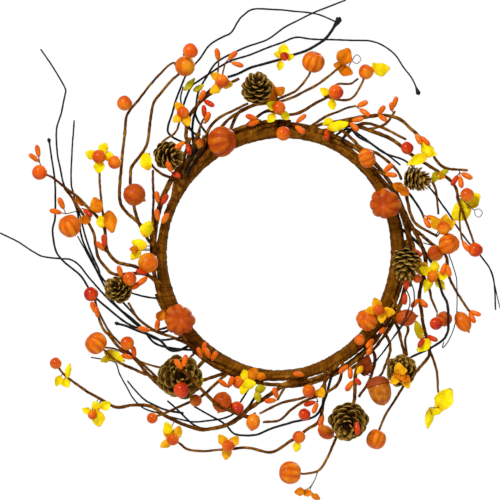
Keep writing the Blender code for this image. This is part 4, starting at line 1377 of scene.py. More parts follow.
BUNDLES = (
    Bundle("loose_vines_left", Bark.VINE, (
        (0.9, 0.7, 1.6, ((-89, -61, 2), (-112, -68, 3), (-136, -64, 3), (-165, -41, 3), (-181, -19, 2),
            (-197, -5, 2), (-203, 4, 1), (-206, 21, 1), (-203, 35, 1), (-203, 57, 1), (-207, 91, 2),
            (-209, 104, 2))),
        (0.9, 0.6, 0, ((-91, -58, 0), (-106, -70, 2), (-128, -58, 3), (-160, -23, 3), (-165, -13, 3),
            (-176, 16, 3), (-186, 53, 3), (-189, 65, 3), (-188, 90, 3), (-186, 120, 3))),
        (0.8, 0.5, 0, ((-100, -41, 2), (-125, -38, 2), (-157, -25, 2), (-172, -4, 2), (-183, 16, 2))),
        (1.1, 0.9, 1.5, ((-74, -79, 2), (-98, -87, 4), (-110, -77, 5), (-131, -68, 5), (-149, -62, 5))),
    )),
    Bundle("loose_vine_top", Bark.VINE, (
        (0.9, 1.1, 2.5, ((-76, 77, 3), (-80, 112, 4), (-73, 136, 5), (-59, 152, 5), (-47, 159, 5),
            (-22, 169, 5), (10, 178, 6), (27, 185, 7), (40, 193, 8), (49, 206, 9), (53, 212, 9))),
        (0.8, 0.6, 0, ((-70, 82, 3), (-78, 104, 5), (-84, 118, 7), (-90, 138, 8), (-88, 150, 9))),
    )),
    Bundle("loose_vines_right", Bark.VINE, (
        (1.0, 0.7, 0, ((50, 95, 4), (62, 112, 7), (70, 105, 9), (82, 98, 10), (97, 89, 10), (107, 80, 9))),
        (1.1, 0.8, 0, ((94, 54, 4), (108, 58, 6), (116, 53, 7), (125, 40, 8), (131, 26, 8))),
        (1.2, 0.9, 0, ((105, 25, 2), (125, 8, 4), (138, -12, 10), (142, -27, 20), (144, -35, 25),
            (148, -45, 31), (149, -64, 32), (148, -72, 28), (144, -78, 22), (130, -86, 14),
            (116, -93, 10))),
        (0.6, 0.5, 0, ((107, -14, 6), (119, -32, 20), (116, -52, 33), (110, -61, 34), (98, -78, 27),
            (88, -91, 19), (80, -100, 12))),
        (0.6, 0.5, 0, ((106, -20, 6), (115, -40, 22), (111, -55, 33), (105, -66, 33), (97, -80, 25),
            (84, -98, 14))),
        (0.5, 0.45, 0, ((128, 10, 6), (147, 4, 9), (152, -4, 10), (157, -19, 10), (158, -28, 9),
            (157, -55, 8), (154, -70, 9), (149, -80, 10), (145, -84, 10), (146, -79, 10))),
        (0.6, 0.45, 0, ((188, -14, 2), (192, -28, 3), (197, -49, 4))),
    )),
    Bundle("loose_vines_bottom", Bark.VINE, (
        (1.0, 0.7, 0, ((-14, -107, 3), (-24, -130, 4), (-36, -144, 5), (-56, -155, 6), (-76, -154, 6),
            (-102, -132, 6))),
        (1.1, 0.7, 0, ((60, -90, 2), (47, -105, 4), (40, -128, 5), (31, -145, 6), (8, -152, 6),
            (-11, -158, 6), (-25, -163, 6), (-40, -162, 6), (-51, -153, 6), (-78, -137, 6))),
        (0.8, 0.5, 0, ((-20, -106, 2), (-36, -132, 3), (-45, -145, 3), (-76, -151, 3), (-108, -144, 3),
            (-123, -139, 3), (-132, -131, 3), (-139, -120, 2), (-145, -108, 0), (-149, -98, -1),
            (-159, -95, -2), (-171, -93, -1))),
        (0.9, 0.6, 0, ((-88, -143, 6), (-100, -141, 6), (-116, -135, 5), (-125, -129, 5), (-138, -114, 5))),
    )),
    Bundle("loose_twigs_left", Bark.TWIG, (
        (1.3, 1.0, 0, ((-105, -27, 4), (-125, -18, 7), (-148, -18, 8), (-157, -12, 9), (-164, -3, 10),
            (-167, 9, 10), (-168, 18, 10), (-174, 30, 10), (-182, 42, 11), (-187, 50, 12), (-194, 59, 13))),
        (1.1, 0.8, 0, ((-158, 22, 11), (-162, 50, 12), (-163, 76, 14))),
        (1.4, 1.0, 0, ((-107, -12, 3), (-113, 4, 6), (-120, 14, 7), (-127, 28, 8), (-132, 43, 8),
            (-135, 62, 9), (-134, 77, 10), (-127, 88, 11), (-119, 102, 12), (-117, 122, 13),
            (-113, 138, 13), (-100, 154, 14), (-92, 161, 16))),
        (1.1, 0.9, 0, ((-108, 2, 3), (-112, 8, 6), (-115, 21, 8), (-115, 75, 9))),
    )),
    Bundle("loose_twigs_upper_left", Bark.TWIG, (
        (1.7, 1.1, 0, ((-80, 72, 4), (-83, 95, 6), (-85, 107, 8), (-83, 122, 10), (-77, 131, 11),
            (-66, 142, 12), (-55, 149, 12), (-38, 157, 13))),
        (0.7, 0.6, 0, ((-60, 146, 12), (-57, 161, 12), (-56, 172, 12))),
        (0.7, 0.6, 0, ((-55, 149, 12), (-53, 162, 12), (-50, 172, 12))),
        (1.2, 0.8, 0, ((-81, 71, 3), (-98, 80, 6), (-107, 99, 9), (-95, 109, 11), (-91, 119, 12))),
        (1.3, 0.9, 0, ((-62, 90, 3), (-58, 106, 6), (-49, 119, 8), (-38, 127, 8), (-23, 134, 9),
            (-2, 137, 10), (15, 143, 11), (34, 153, 13), (52, 167, 15))),
        (1.3, 1.0, 0, ((-62, 89, 4), (-67, 108, 7), (-56, 122, 9), (-30, 135, 12))),
        (1.1, 0.8, 0, ((-72, 80, 5), (-76, 100, 7), (-72, 117, 9), (-69, 122, 9))),
        (1.2, 0.9, 0, ((-86, 66, 3), (-104, 70, 7), (-116, 80, 8), (-119, 90, 9))),
    )),
    Bundle("twig_over_lower_cone", Bark.TWIG, (
        (1.2, 1.5, 0, ((-91, -103, 43), (-81, -109, 44), (-69, -123, 36), (-56, -134.5, 29),
            (-44, -141, 23), (-33, -145, 18), (-26, -146, 15))),
    )),
    Bundle("gathered_stems_upper_left", Bark.TWIG, (
        (2.6, 1.8, 0, ((-96, 46, 3), (-93, 58, 6), (-88, 72, 7), (-82, 88, 8), (-77, 100, 9),
            (-74, 108, 9))),
        (2.6, 1.8, 0, ((-95, 50, 3), (-90, 61, 7), (-84, 74, 8), (-77, 87, 9), (-70, 97, 9),
            (-67, 104, 8))),
        (2.4, 1.6, 0, ((-93, 54, 4), (-88, 64, 7), (-80, 74, 9), (-71, 85, 10), (-64, 94, 9),
            (-58, 98, 7))),
        (2.0, 1.3, 0, ((-98, 44, 1), (-96, 56, 3), (-93, 70, 4), (-88, 84, 5), (-84, 96, 6),
            (-82, 104, 7))),
        (2.0, 1.3, 0, ((-92, 56, 1), (-88, 70, 4), (-79, 86, 6), (-72, 98, 6), (-69, 106, 6))),
    )),
    Bundle("gathered_vines_upper_left", Bark.VINE, (
        (1.3, 1.0, 0, ((-92, 55, 6), (-86, 72, 9), (-79, 90, 11), (-75, 104, 10), (-73, 112, 8))),
        (1.2, 0.9, 0, ((-90, 59, 7), (-82, 75, 10), (-74, 90, 11), (-70, 100, 10), (-66, 108, 7))),
    )),
    Bundle("loose_twigs_top", Bark.TWIG, (
        (1.0, 0.8, 0, ((42, 141, 8), (50, 152, 10), (63, 153, 12), (69, 157, 14))),
        (1.2, 0.8, 0, ((18, 107, 4), (35, 121, 6), (52, 128, 8), (67, 133, 10))),
        (1.4, 0.9, 0, ((20, 107, 3), (35, 116, 5), (61, 121, 8), (85, 125, 11))),
        (1.2, 0.9, 0, ((60, 117, 7), (78, 112, 8), (90, 115, 9), (96, 119, 10), (102, 128, 11))),
        (1.6, 1.0, 0, ((35, 102, 4), (58, 118, 7), (80, 124, 9), (96, 124, 10), (107, 121, 11),
            (115, 114, 12), (124, 105, 13), (131, 98, 13), (139, 84, 13), (149, 77, 13), (167, 75, 13))),
    )),
    Bundle("loose_twigs_right", Bark.TWIG, (
        (1.3, 0.9, 0, ((48, 97, 3), (71, 117, 6), (89, 114, 8), (112, 103, 10))),
        (1.4, 1.0, 0, ((38, 101, 3), (50, 111, 6), (64, 103, 8), (73, 95, 9), (87, 90, 9), (103, 76, 10),
            (108, 67, 11))),
        (1.2, 0.9, 0, ((72, 80, 4), (80, 79, 7), (97, 67, 9))),
        (1.1, 0.8, 0, ((141, 74, 10), (136, 66, 11), (139, 56, 12), (141, 36, 13))),
        (1.6, 1.1, 0, ((99, 44, 3), (106, 40, 6), (112, 24, 8), (119, 6, 9), (118, -12, 9), (112, -30, 8))),
        (1.5, 1.0, 0, ((95, 52, 3), (110, 58, 6), (113, 51, 7), (116, 36, 8), (122, 26, 9), (140, 16, 11))),
        (1.3, 0.9, 0, ((120, 22, 5), (135, 10, 8), (148, -2, 10), (151, -22, 11), (165, -46, 12),
            (170, -52, 12))),
        (1.2, 0.8, 0, ((128, -18, 7), (133, -31, 9), (135, -41, 11), (140, -52, 13))),
    )),
    Bundle("loose_twigs_lower_right", Bark.TWIG, (
        (1.1, 0.8, 0, ((131, -80, 6), (134, -88, 8), (139, -104, 10), (141, -124, 12))),
        (1.4, 1.0, 0, ((96, -48, 4), (104, -64, 6), (108, -78, 8), (112, -93, 10))),
        (1.2, 0.9, 0, ((100, -40, 4), (114, -65, 7), (112, -77, 8), (113, -91, 9))),
        (1.4, 1.0, 0, ((74, -78, 4), (84, -92, 6), (80, -112, 7), (70, -128, 8))),
        (1.3, 0.9, 0, ((88, -62, 3), (98, -84, 5), (92, -104, 7), (88, -110, 12))),
    )),
    Bundle("loose_twigs_bottom", Bark.TWIG, (
        (1.4, 0.9, 0, ((40, -100, 3), (38, -132, 5), (34, -150, 6), (22, -158, 7), (9, -168, 8),
            (-8, -178, 8), (-31, -174, 9), (-53, -176, 10), (-81, -176, 11), (-91, -170, 12))),
        (1.3, 0.9, 0, ((46, -98, 3), (36, -122, 5), (20, -129, 7), (1, -134, 8), (-19, -143, 9))),
        (1.3, 0.9, 0, ((56, -92, 3), (52, -115, 5), (40, -125, 6), (22, -132, 7), (9, -140, 8),
            (-2, -149, 9), (-16, -151, 10))),
        (1.2, 0.8, 0, ((10, -107, 4), (2, -122, 6), (-3, -131, 8))),
    )),
    Bundle("loose_twigs_low_left", Bark.TWIG, (
        (1.5, 1.0, 0, ((-62, -88, 3), (-84, -110, 5), (-107, -118, 6), (-121, -106, 8), (-131, -94, 9),
            (-146, -83, 9), (-155, -72, 10), (-159, -68, 10), (-164, -56, 10), (-167, -41, 10))),
        (1.0, 0.8, 0, ((-107, -116, 5), (-120, -103, 7), (-145, -80, 8), (-158, -64, 9), (-166, -46, 11))),
        (0.9, 0.7, 0, ((-70, -82, 3), (-90, -100, 5), (-108, -102, 6), (-131, -95, 7), (-148, -86, 8),
            (-158, -84, 9))),
        (1.4, 0.9, 0, ((-20, -106, 3), (-39, -109, 7), (-52, -103, 8), (-67, -95, 8), (-78, -84, 8),
            (-95, -76, 9), (-113, -69, 9), (-128, -58, 9), (-137, -44, 10))),
        (1.2, 0.9, 0, ((-40, -100, 4), (-60, -118, 7), (-76, -130, 8), (-98, -140, 9), (-116, -147, 10))),
    )),
    Bundle("second_strand_right_tip", Bark.TWIG, (
        (0.8, 0.6, 0, ((161, 42, 13), (160, 30, 15), (162, 13, 17), (166, 5, 18))),
    ), "right_tip_sprig"),
    Bundle("leaf_wires_bottom", Bark.WIRE, (
        (0.5, 0.4, 0, ((33, -195, 10), (30, -203, 10), (25, -210, 10), (17, -213, 9))),
        (0.5, 0.4, 0, ((30, -203, 10), (26, -213, 9), (33, -219, 9))),
    ), "bottom_sprig"),
    Bundle("curled_wires", Bark.WIRE, (
        (0.45, 0.35, 0, ((58, 163, 14), (62, 171, 15), (67, 178, 16), (71, 174, 17), (67, 170, 18),
            (62, 174, 17))),
        (0.45, 0.35, 0, ((133, -140, 11), (130, -146, 12), (135, -143, 13), (133, -138, 13),
            (140, -138, 13))),
    )),
    Bundle("curled_wire_right_tip", Bark.WIRE, (
        (0.45, 0.35, 0, ((164, 47, 13), (169, 43, 14), (173, 39.5, 15), (177, 40.5, 15), (180.5, 37, 15),
            (177.5, 33, 16), (174, 35, 16), (173.5, 39, 16))),
    ), "right_tip_sprig"),
)

# Stem ends laid along the outside of the ring before they're taped: start clock, end clock, how far out
# each end lies, forward, radius.
RING_STRANDS = (
    (12, 80, 6.5, 11, 3.5, 1.6), (28, 104, 7, 12, -2, 1.5), (58, 128, 6.5, 10, 4.5, 1.7),
    (84, 150, 7, 12, 0, 1.5), (112, 178, 6.5, 11, 3.5, 1.6), (132, 204, 7, 10, -2, 1.5),
    (152, 222, 6.5, 11, 4.5, 1.6), (186, 252, 7, 11, 1, 1.5), (214, 288, 6.5, 10, 4.5, 1.7),
    (246, 312, 7, 12, -1, 1.4), (262, 326, 6.5, 11, 4, 1.6), (300, 364, 6.5, 12, 3, 1.6),
    (330, 394, 7, 10, -1, 1.5), (346, 408, 6.5, 10, 4.5, 1.5), (20, 62, 3, 7, 6.5, 1.3),
    (96, 140, 3, 7, 6.5, 1.4), (168, 206, 2, 7, 6.5, 1.3), (296, 334, 1, 7, 6.5, 1.4),
)

FRUIT = (
    Fruit("berry_upper_left", -140, 135, 13.5, forward=20, body="arch_sprig"),
    Fruit("berry_inner_arch", -88, 127, 11),
    Fruit("berry_top_left", -53, 155, 12),
    Fruit("berry_left_flower", -163, 87, 12.5, forward=20),
    Fruit("berry_left_arch", -149, 82, 12, forward=20),
    Fruit("berry_small_top", 3, 177, 8, Tone.RED, forward=16),
    Fruit("berry_top_middle", -2, 131, 12, forward=19),
    Fruit("berry_upper_right", 113, 95, 11.5, Tone.RED),
    Fruit("berry_far_right", 166.5, 53, 12.5, forward=20),
    Fruit("berry_right", 145, 23, 12, forward=24),
    Fruit("berry_right_flower", 136, -20, 10.5, forward=16),
    Fruit("berry_ring_lower_right", 87, -50, 10, forward=26),
    Fruit("berry_left_low", -170.5, -36, 13, Tone.RED),
    Fruit("berry_left_cone", -135.5, -22, 12.5, forward=26),
    Fruit("berry_low_left_twig", -138, -80, 12.5, forward=18),
    Fruit("berry_on_lower_cone", -89, -121, 14, Tone.RED, forward=43),
    Fruit("berry_low_cone_side", -76.5, -131, 11, Tone.RUST, forward=20),
    Fruit("berry_bottom_left", -39.5, -138, 12.5, Tone.RED, forward=18),
    Fruit("berry_ring_bottom_left", -38, -115, 11.5),
    Fruit("berry_bottom_pointed", -25, -150, 12.5, height=15, clock=190),
    Fruit("berry_bottom", 25, -123, 12),
    Fruit("berry_bottom_dark", 21, -144, 11, Tone.RED),
    Fruit("berry_bottom_low", 16, -164, 11.5),
    Fruit("berry_low_left_small", -115.5, -147, 10),
    Fruit("berry_husk_left", -97, -166, 11),
    Fruit("berry_husk", -47.5, -172, 11),
    Fruit("berry_low_left_flower", -169, -144, 8.5, forward=18),
    Fruit("berry_ring_low_right", 70.5, -77, 10, forward=14),
    Fruit("berry_right_pumpkins", 138.5, -62, 11.5, Tone.RED, forward=24),
    Fruit("berry_behind_upper_left_pumpkin", -73, 99, 10, Tone.RUST, forward=8),
    Fruit("berry_behind_right_pumpkin", 138.5, 1, 14.5, Tone.RUST, forward=14, height=15),
    Fruit("berry_behind_bottom_cone", 40.5, -160, 12, Tone.RUST, forward=14, height=17),
    Fruit("berry_right_small", 122, -22, 8, forward=20, height=9),
)

O, R = Tone.ORANGE, Tone.RED
PIPS = (
    Pips("pips_left_tip", ((-216, 82, -217.5, 92, O, None),
        (-216, 82, -221, 86, O, None)), "left_tip_sprig"),
    Pips("pips_far_left", ((-193, 36, -197, 45.5, O, 16), (-193, 36, -202, 38, O, 18),
        (-186, 51, -181, 47, O, None), (-178, 41, -173.5, 37, R, None))),
    Pips("pips_left", ((-157.5, 2, -162, 7, O, 15), (-157.5, 2, -158.5, 12, R, 17),
        (-142, -23, -144, -15.5, O, 30), (-119, -17, -125, -16, R, 20), (-119, -20, -124, -24, O, 22),
        (-122, -23, -129.5, -28, O, 20))),
    Pips("pips_left_ring", ((-110, 43, -111, 51, O, 16), (-108, 43, -104.5, 49, R, 14),
        (-110, 27, -111, 35, O, 16), (-108, 26, -104, 32, O, 14))),
    Pips("pips_low_left", ((-164, -58, -168, -48, O, 15), (-164, -58, -165, -52, O, 17),
        (-112, -70, -123, -67.5, O, 15), (-112, -70, -111, -64, O, 16), (-131, -94, -132, -87.5, O, 15),
        (-131, -94, -138, -92, O, 16))),
    Pips("pips_ring_low_left", ((-71, -94, -73, -88.5, O, 15), (-71, -94, -69, -84, O, 14),
        (-62, -96, -66, -89, O, 14), (-62, -96, -60, -91.5, O, 16), (-47, -120, -52, -116, O, 15),
        (-47, -120, -45, -114.5, O, 15))),
    Pips("pips_on_lower_cone", ((-88, -103, -91.5, -98, O, 44), (-88, -103, -86, -95, O, 42))),
    Pips("pips_bottom", ((-3, -131, -5, -124.5, O, 15), (-3, -131, -9.5, -131.5, O, 14),
        (23, -109, 16, -108, O, 10), (33, -132, 25.5, -134, R, 14), (33, -132, 30.5, -138, O, 16),
        (38, -144, 36, -149.5, O, 14), (38, -144, 35.5, -155.5, O, 16))),
    Pips("pips_bottom_cone", ((66, -142, 67.5, -155, R, 43), (62, -98, 56, -103, O, 14),
        (62, -98, 62, -106.5, O, 16), (66, -111, 61, -118, O, 24), (66, -111, 68.5, -114, R, 22))),
    Pips("pips_lower_right", ((83, -76, 79.5, -80, O, 16), (83, -76, 79.5, -85.5, O, 17),
        (94, -66, 91, -68.5, O, 14), (130, -73, 126, -79, R, 15), (130, -73, 135.5, -75.5, R, 15),
        (124, -40, 120, -44, O, 15), (124, -40, 127.5, -44, O, 15), (111, -33, 110.5, -40, R, 26),
        (112, -33, 112, -27, R, 24))),
    Pips("pips_right", ((168, -51, 174, -53, O, 16), (168, -51, 171, -57, O, 18),
        (148, -6, 145.5, -13.5, O, 16), (148, -6, 150, -15, O, 16), (119, 4, 122.5, 1, R, 15),
        (127, 35, 131, 28, O, 15), (127, 35, 135.5, 32, O, 16))),
    Pips("pips_right_tip", ((161, 14, 165.5, 7, O, None),), "right_tip_sprig"),
    Pips("pips_upper_right", ((160, 73, 155.5, 66, R, 16), (160, 73, 161, 64.5, O, 17),
        (160, 73, 166.5, 70, O, 16), (91, 72, 96, 77, O, 16), (91, 72, 98.5, 71, O, 18),
        (119, 111, 123, 103, O, 17), (119, 111, 129, 101.5, O, 16))),
    Pips("pips_top_right", ((99.5, 128, 102, 136, O, 15), (99.5, 128, 99, 132, O, 17),
        (87, 125, 90, 129, O, 15), (87, 125, 91, 122, O, 16), (67.5, 132, 73, 134.5, O, 14),
        (67.5, 132, 75, 127, O, 15), (61, 119, 68.5, 120.5, O, 14), (61, 119, 65.5, 114, O, 15),
        (41, 112, 41, 106.5, R, 14))),
    Pips("pips_top", ((11, 116, 18, 121.5, O, 14), (11, 116, 17, 111.5, O, 14),
        (-18, 120, -26.5, 122.5, O, 14), (-18, 120, -24.5, 117.5, O, 15))),
    Pips("pips_top_left", ((-74, 137, -71, 142, O, 17), (-70, 138, -64.5, 135, R, 17),
        (-68, 117, -69, 128, R, 14), (-68, 117, -66, 122.5, O, 15), (-56, 172, -57, 179, O, None),
        (-49, 173, -43.5, 178, O, 14), (-49, 173, -39, 170, O, 15), (-85, 101, -90.5, 97, O, 36),
        (-85, 101, -83, 94, R, 20), (-98, 73, -100, 78, O, 30), (-98, 73, -94, 71, R, 22))),
)

PETALS = (
    Petals("petals_left_flower", Tone.YELLOW, ((-159, 95, 9, 8, 30, 19), (-170, 89, 10, 8, 290, 18),
        (-155, 88, 9, 8, 80, 18), (-163, 78, 10, 9, 190, 19))),
    Petals("petals_inner_arch", Tone.GOLD, ((-93.5, 121.5, 8, 7, 220, 16), (-91.5, 132, 9, 7, 320, 15),
        (-85, 119.5, 10, 8, 150, 16))),
    Petals("leaf_upper_left_cone", Tone.YELLOW, ((-120.5, 83, 14, 10, 350, 17),), point=0.0),
    Petals("petals_top_left", Tone.GOLD, ((-59, 148, 11, 8, 230, 16), (-48.5, 152.5, 9, 8, 100, 16),
        (-58.5, 159, 9, 7, 300, 15))),
    Petals("leaves_arch_ball", Tone.OLIVE, ((-82, 152, 13, 5, 40, 18), (-74, 149, 10, 5, 60, 16))),
    Petals("petals_left_stem", Tone.YELLOW, ((-120, 22.5, 14, 11, 20, 16), (-127, 9, 13, 9, 290, 15),
        (-130.5, 0, 11, 8, 215, 15), (-161, 29, 10, 8, 350, 17))),
    Petals("leaves_left_orange", Tone.ORANGE, ((-165, 44, 13, 11, 340, 17), (-153, 29, 18, 11, 170, 15),
        (-176, 31, 10, 8, 260, 14), (-108, -55, 9, 8, 30, 14), (-132, 4, 7, 6, 280, 17))),
    Petals("petals_small_top", Tone.YELLOW, ((2, 183, 10, 9, 10, 15), (-2.5, 179, 7, 6, 280, 14),
        (8, 177, 7, 6, 90, 14), (-1, 169, 8, 6, 190, 14))),
    Petals("petals_top_middle", Tone.YELLOW, ((-8, 133, 10, 8, 290, 18), (-9, 122, 9, 7, 220, 15),
        (4, 124, 8, 7, 140, 16))),
    Petals("leaves_top_orange", Tone.ORANGE, ((-9, 145, 19, 11, 350, 15), (-1, 146, 9, 8, 50, 15))),
    Petals("leaves_sprig_top", Tone.ORANGE, ((57.5, 177, 14, 13, 20, 17), (58, 164, 12, 9, 110, 15),
        (52, 169, 9, 8, 280, 15))),
    Petals("petals_top_right", Tone.YELLOW, ((39, 146, 8, 7, 300, 14), (46, 134, 9, 7, 170, 15),
        (51, 115, 18, 8, 75, 13), (42, 118, 9, 7, 250, 12))),
    Petals("leaf_top_tip", Tone.YELLOW, ((90, 165.5, 13, 11, 80, 20),
        (84, 168, 7, 6, 330, 18)), "top_tip_sprig"),
    Petals("leaves_upper_right", Tone.YELLOW, ((130, 94, 15, 10, 325, 17), (122, 84, 18, 9, 245, 16),
        (135, 90, 9, 7, 100, 17)), point=0.7),
    Petals("leaves_pale_right", Tone.OLIVE, ((138, 69, 9, 7, 200, 15), (146, 73, 8, 5, 60, 16))),
    Petals("leaves_orange_right", Tone.ORANGE, ((143, 70, 8, 6, 100, 15), (105, 60, 10, 8, 300, 13),
        (110.5, 56, 9, 8, 130, 14))),
    Petals("leaf_yellow_right_tip", Tone.YELLOW, ((172, 48, 15, 13, 50, 9), (161.5, 38.5, 18, 15, 225, 9),
        (164, 45, 11, 9, 320, 9)), "right_tip_sprig", point=0.1),
    Petals("petals_right", Tone.GOLD, ((139, 28, 12, 10, 315, 20), (150, 26, 12, 10, 65, 21),
        (147, 31, 9, 8, 10, 19), (125, -12.5, 14, 11, 300, 15), (122, -6, 9, 8, 10, 14)), point=0.5),
    Petals("petals_right_star", Tone.YELLOW, ((137.5, -11, 12, 8, 5, 16), (129, -15, 12, 8, 300, 16),
        (145.5, -19, 12, 8, 85, 16), (143, -27, 12, 7, 140, 15), (131.5, -28, 13, 8, 205, 16)), point=0.8),
    Petals("petals_ring_lower_right", Tone.GOLD, ((85, -44.5, 10, 8, 340, 25), (96, -52, 11, 8, 95, 24),
        (90, -57, 9, 7, 190, 25), (80, -51, 9, 8, 270, 24))),
    Petals("leaves_lower_right", Tone.YELLOW, ((123, -68, 15, 7, 345, 14), (128, -82, 14, 9, 230, 14))),
    Petals("leaf_hanging", Tone.YELLOW, ((147, -130, 19, 15, 30, 14), (141, -139, 13, 8, 220, 13),
        (133, -147, 17, 7, 190, 13))),
    Petals("leaves_bottom_right", Tone.GOLD, ((70.5, -104, 8, 5, 215, 15), (35, -124, 9, 8, 30, 14))),
    Petals("leaf_dark_lower_right", Tone.RUST, ((76, -100, 17, 11, 10, 13),)),
    Petals("petals_on_right_cone", Tone.ORANGE, ((106.7, -108.8, 8, 7, 150, 41), (103, -107, 8, 6, 240, 41),
        (110.5, -111, 9, 7, 110, 40))),
    Petals("petals_on_right_cone_gold", Tone.GOLD, ((105, -101.5, 9, 8, 350, 41),
        (101, -112, 9, 7, 230, 39), (111.5, -115, 9, 7, 160, 39), (108, -104, 7, 6, 60, 42))),
    Petals("petals_bottom", Tone.YELLOW, ((-28.5, -117, 11, 9, 80, 16), (-32, -108.5, 9, 8, 340, 15),
        (14, -173, 8, 7, 190, 15), (-34, -121, 9, 7, 200, 16))),
    Petals("petals_bottom_green", Tone.OLIVE, ((-18.5, -121, 9, 7, 70, 14), (-21, -128, 9, 6, 170, 14))),
    Petals("leaf_bottom_pink", Tone.ORANGE, ((-25, -107.5, 11, 10, 20, 15), (-18, -110, 8, 7, 90, 14))),
    Petals("petals_low_left", Tone.YELLOW, ((-166, -136.5, 9, 8, 340, 17), (-164, -147.5, 13, 11, 170, 16),
        (-157.5, -135.5, 9, 8, 60, 16), (-174, -140, 8, 6, 290, 16), (-102, -156, 10, 8, 350, 16),
        (-74, -114.5, 10, 8, 40, 20))),
    Petals("husks_bottom", Tone.GOLD, ((-101, -161, 12, 8, 320, 13), (-93, -160, 11, 8, 20, 13),
        (-103, -170, 11, 7, 240, 13), (-52, -167, 11, 8, 320, 11), (-42, -168, 10, 8, 40, 11),
        (-49, -179, 10, 8, 190, 11))),
    Petals("leaf_low_left_sprig", Tone.YELLOW, ((-149.5, -92, 18, 9, 115, 6),
        (-158, -95, 8, 6, 250, 6)), "low_left_sprig", point=0.6),
    Petals("leaves_low_left_tip", Tone.YELLOW, ((-190.5, -104.5, 12, 5, 10, 18),
        (-199.5, -113.5, 9, 7, 200, 18), (-192.5, -115.5, 8, 7, 150, 18)), "low_left_tip_sprig"),
    Petals("leaf_bits_bottom_tip", Tone.ORANGE, ((16.5, -213, 8, 7, 260, 12), (24, -214.5, 8, 6, 90, 11),
        (31, -218, 8, 5, 120, 10)), "bottom_sprig"),
)


